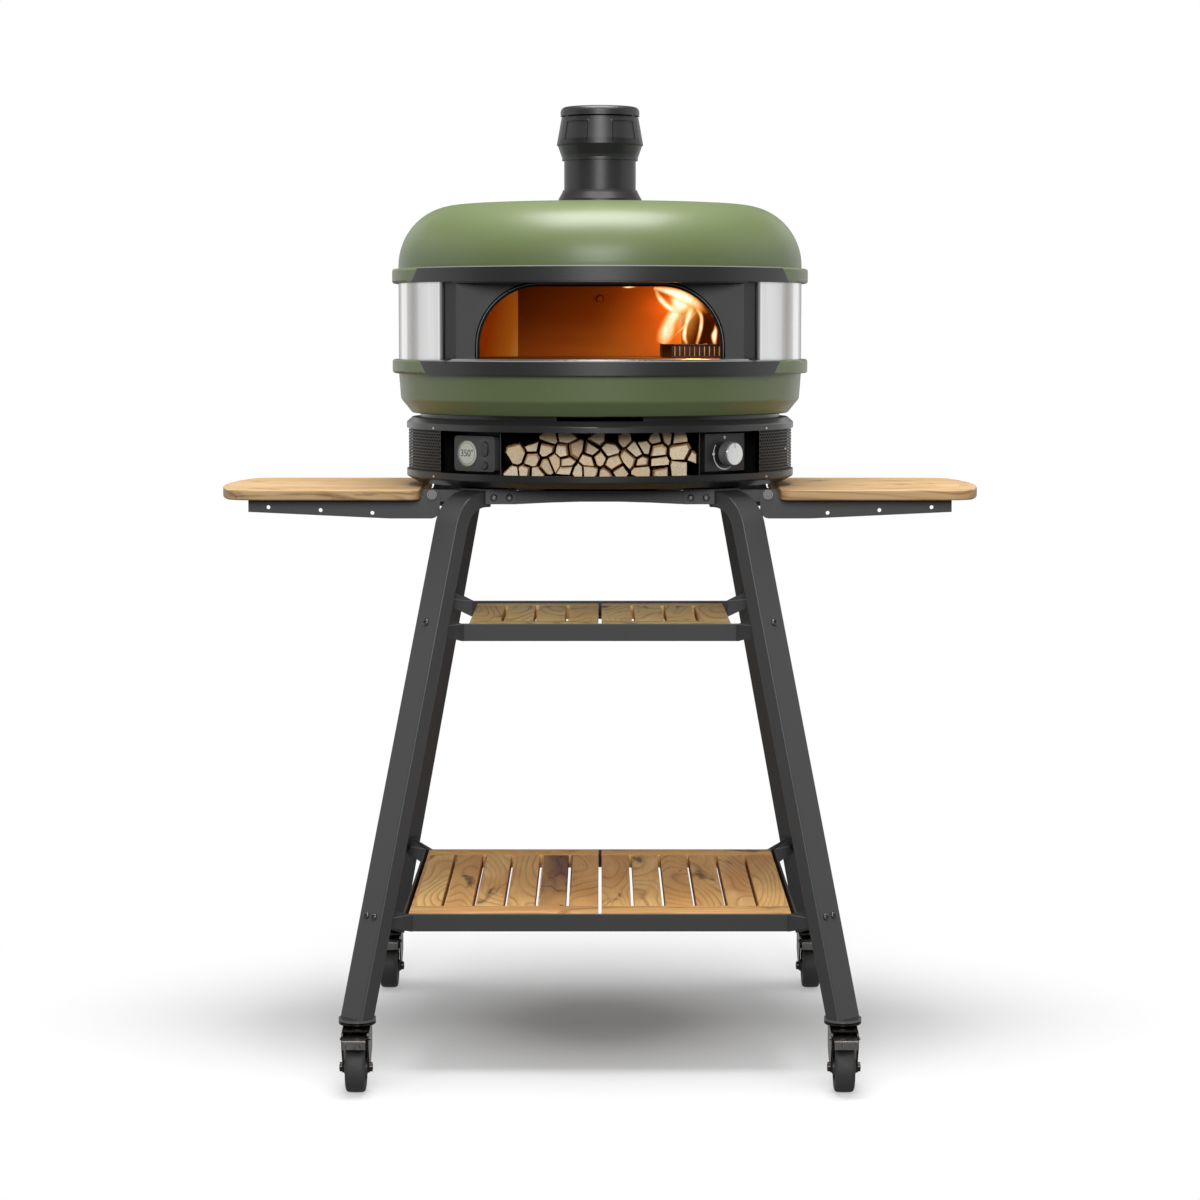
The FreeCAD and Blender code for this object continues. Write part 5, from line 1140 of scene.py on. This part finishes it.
def slotGas():
    # the burning gas seen through the slots
    gas = Finish("slotGas", Roughness=1.0, Specular_IOR_Level=0.0, Emission_Strength=fire["slotStrength"])
    flicker = gas.speckle(gas.place((260, 260, 60)), 1, 2)
    gas.set(Base_Color=tint("000000"),
            Emission_Color=gas.mix(flicker * 1.2 - 0.1, tint("b8400c"), tint("ffd28c")))
    rim, rear = guard["rim"], middleY + guard["y"][1] + guard["sheet"]
    glowing = softBlock((guard["x"][1] + 0.003, rear + 0.0004, guard["low"] + rim - 0.001),
                        (guard["x"][2] - 0.001, rear + 0.0009, guard["high"] - rim + 0.001), 0.0001)
    makePiece("slotGas", *glowing, gas.material, slot="steel")


def fireLamp():
    lamp = bpy.data.lights.new("fireLamp", "POINT")
    lamp.energy, lamp.color, lamp.shadow_soft_size = glow["lamp"], glow["colour"], glow["lampSize"]
    obj = bpy.data.objects.new("fireLamp", lamp)
    x, y, z = glow["fire"]
    obj.location = (x, y + middleY, z)
    bpy.context.scene.collection.objects.link(obj)


flames()
slottedGuard()
slotGas()
fireLamp()

say("floor, light and camera")
studio = {"floor": "f2f2f2", "shadow": "909090", "bounce": "505050", "gloss": 0.3, "world": 0.22,
          "top": 86, "front": 225, "side": 12, "rear": 9}
view = {"lens": 91.22, "sensor": 36, "away": 4.86515, "high": 1.13706, "tilt": 0.0886}


def floorPaper():
    # white paper that keeps the shadow, darkened under the table by a painted shadow; what it throws back on
    # the table is held down
    finish = Finish("floorPaper", Roughness=1.0, Specular_IOR_Level=0.0)
    ray = finish.node("LightPath")
    seen = ray["Is Camera Ray"].math("MAXIMUM", ray["Is Transmission Ray"])
    x, y, z = finish.axes(finish.place())
    away = (x ** 2.0 + (y - 0.1) ** 2.0).math("SQRT")
    lift = finish.range(away, 0.12, 1.25, 0.0, 1.0)
    # painted shadow: a soft dark ellipse under the table
    under = ((x * 0.55) ** 2.0 + (y - 0.05) ** 2.0).math("SQRT")
    core = finish.range(under, 0.04, 0.36, 0.62, 0.0)
    paper = finish.mix(core, tint(studio["floor"]), tint(studio["shadow"]))
    finish.set(Base_Color=finish.mix(seen, tint(studio["bounce"]), paper))
    shine = finish.node("Emission", None, {"Color": (1, 1, 1, 1), "Strength": 1.0})["Emission"]
    shown = finish.node("MixShader", None, {0: seen * lift + ray["Is Glossy Ray"] * studio["gloss"],
                                            1: Value(finish, finish.surface.outputs[0]), 2: shine})
    finish.tree.links.new(shown["Shader"].socket, finish.end.inputs["Surface"])
    return finish.material


def studioFloor():
    verts, faces = lathe([(radius, 0.0) for radius in (0.0, 1.0, 3.0, 8.0, 20.0, 60.0)], 64)
    mesh = bpy.data.meshes.new("studioFloor")
    mesh.from_pydata([tuple(v) for v in verts], [], faces)
    mesh.materials.append(floorPaper())
    floor = bpy.data.objects.new("studioFloor", mesh)
    bpy.context.scene.collection.objects.link(floor)


def softLamp(name, place, aim, size, power):
    lamp = bpy.data.lights.new(name, "AREA")
    lamp.shape, lamp.size, lamp.size_y, lamp.energy = "RECTANGLE", size[0], size[1], power
    obj = bpy.data.objects.new(name, lamp)
    obj.location = place
    obj.rotation_euler = (Vector(aim) - Vector(place)).to_track_quat("-Z", "Y").to_euler()
    obj.visible_camera = False
    bpy.context.scene.collection.objects.link(obj)


def studioLight():
    world = bpy.data.worlds.new("studio")
    bpy.context.scene.world = world
    world.use_nodes = True
    tree = world.node_tree
    back = tree.nodes["Background"]
    ray = tree.nodes.new("ShaderNodeLightPath")
    seen = tree.nodes.new("ShaderNodeMath")
    seen.operation = "MAXIMUM"
    level = tree.nodes.new("ShaderNodeMapRange")
    level.inputs[3].default_value, level.inputs[4].default_value = studio["world"], 1.0
    tree.links.new(ray.outputs["Is Camera Ray"], seen.inputs[0])
    tree.links.new(ray.outputs["Is Transmission Ray"], seen.inputs[1])
    tree.links.new(seen.outputs[0], level.inputs[0])
    tree.links.new(level.outputs[0], back.inputs["Strength"])
    back.inputs["Color"].default_value = (1, 1, 1, 1)
    softLamp("topSoftbox", (0.0, -0.3, 3.2), (0, 0, 1.0), (1.6, 1.2), studio["top"])
    softLamp("frontSoftbox", (0.0, -5.8, 2.95), (0, 0, 0.75), (2.4, 2.6), studio["front"])
    for side, name in ((-1, "left"), (1, "right")):
        softLamp(name + "Softbox", (side * 2.3, 0.3, 1.3), (0, 0, 1.1), (2.4, 2.4), studio["side"])
        softLamp(name + "RearSoftbox", (side * 1.7, 2.5, 1.3), (0, 0, 1.1), (1.6, 2.4), studio["rear"])


def studioCamera():
    lens = bpy.data.cameras.new("camera")
    lens.lens, lens.sensor_width = view["lens"], view["sensor"]
    camera = bpy.data.objects.new("camera", lens)
    camera.location = (0, middleY - view["away"], view["high"])
    camera.rotation_euler = (math.pi / 2 - view["tilt"], 0, 0)
    bpy.context.scene.collection.objects.link(camera)
    bpy.context.scene.camera = camera


studioFloor()
studioLight()
studioCamera()
bpy.context.scene.view_settings.view_transform = "Standard"

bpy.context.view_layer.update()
say("done")
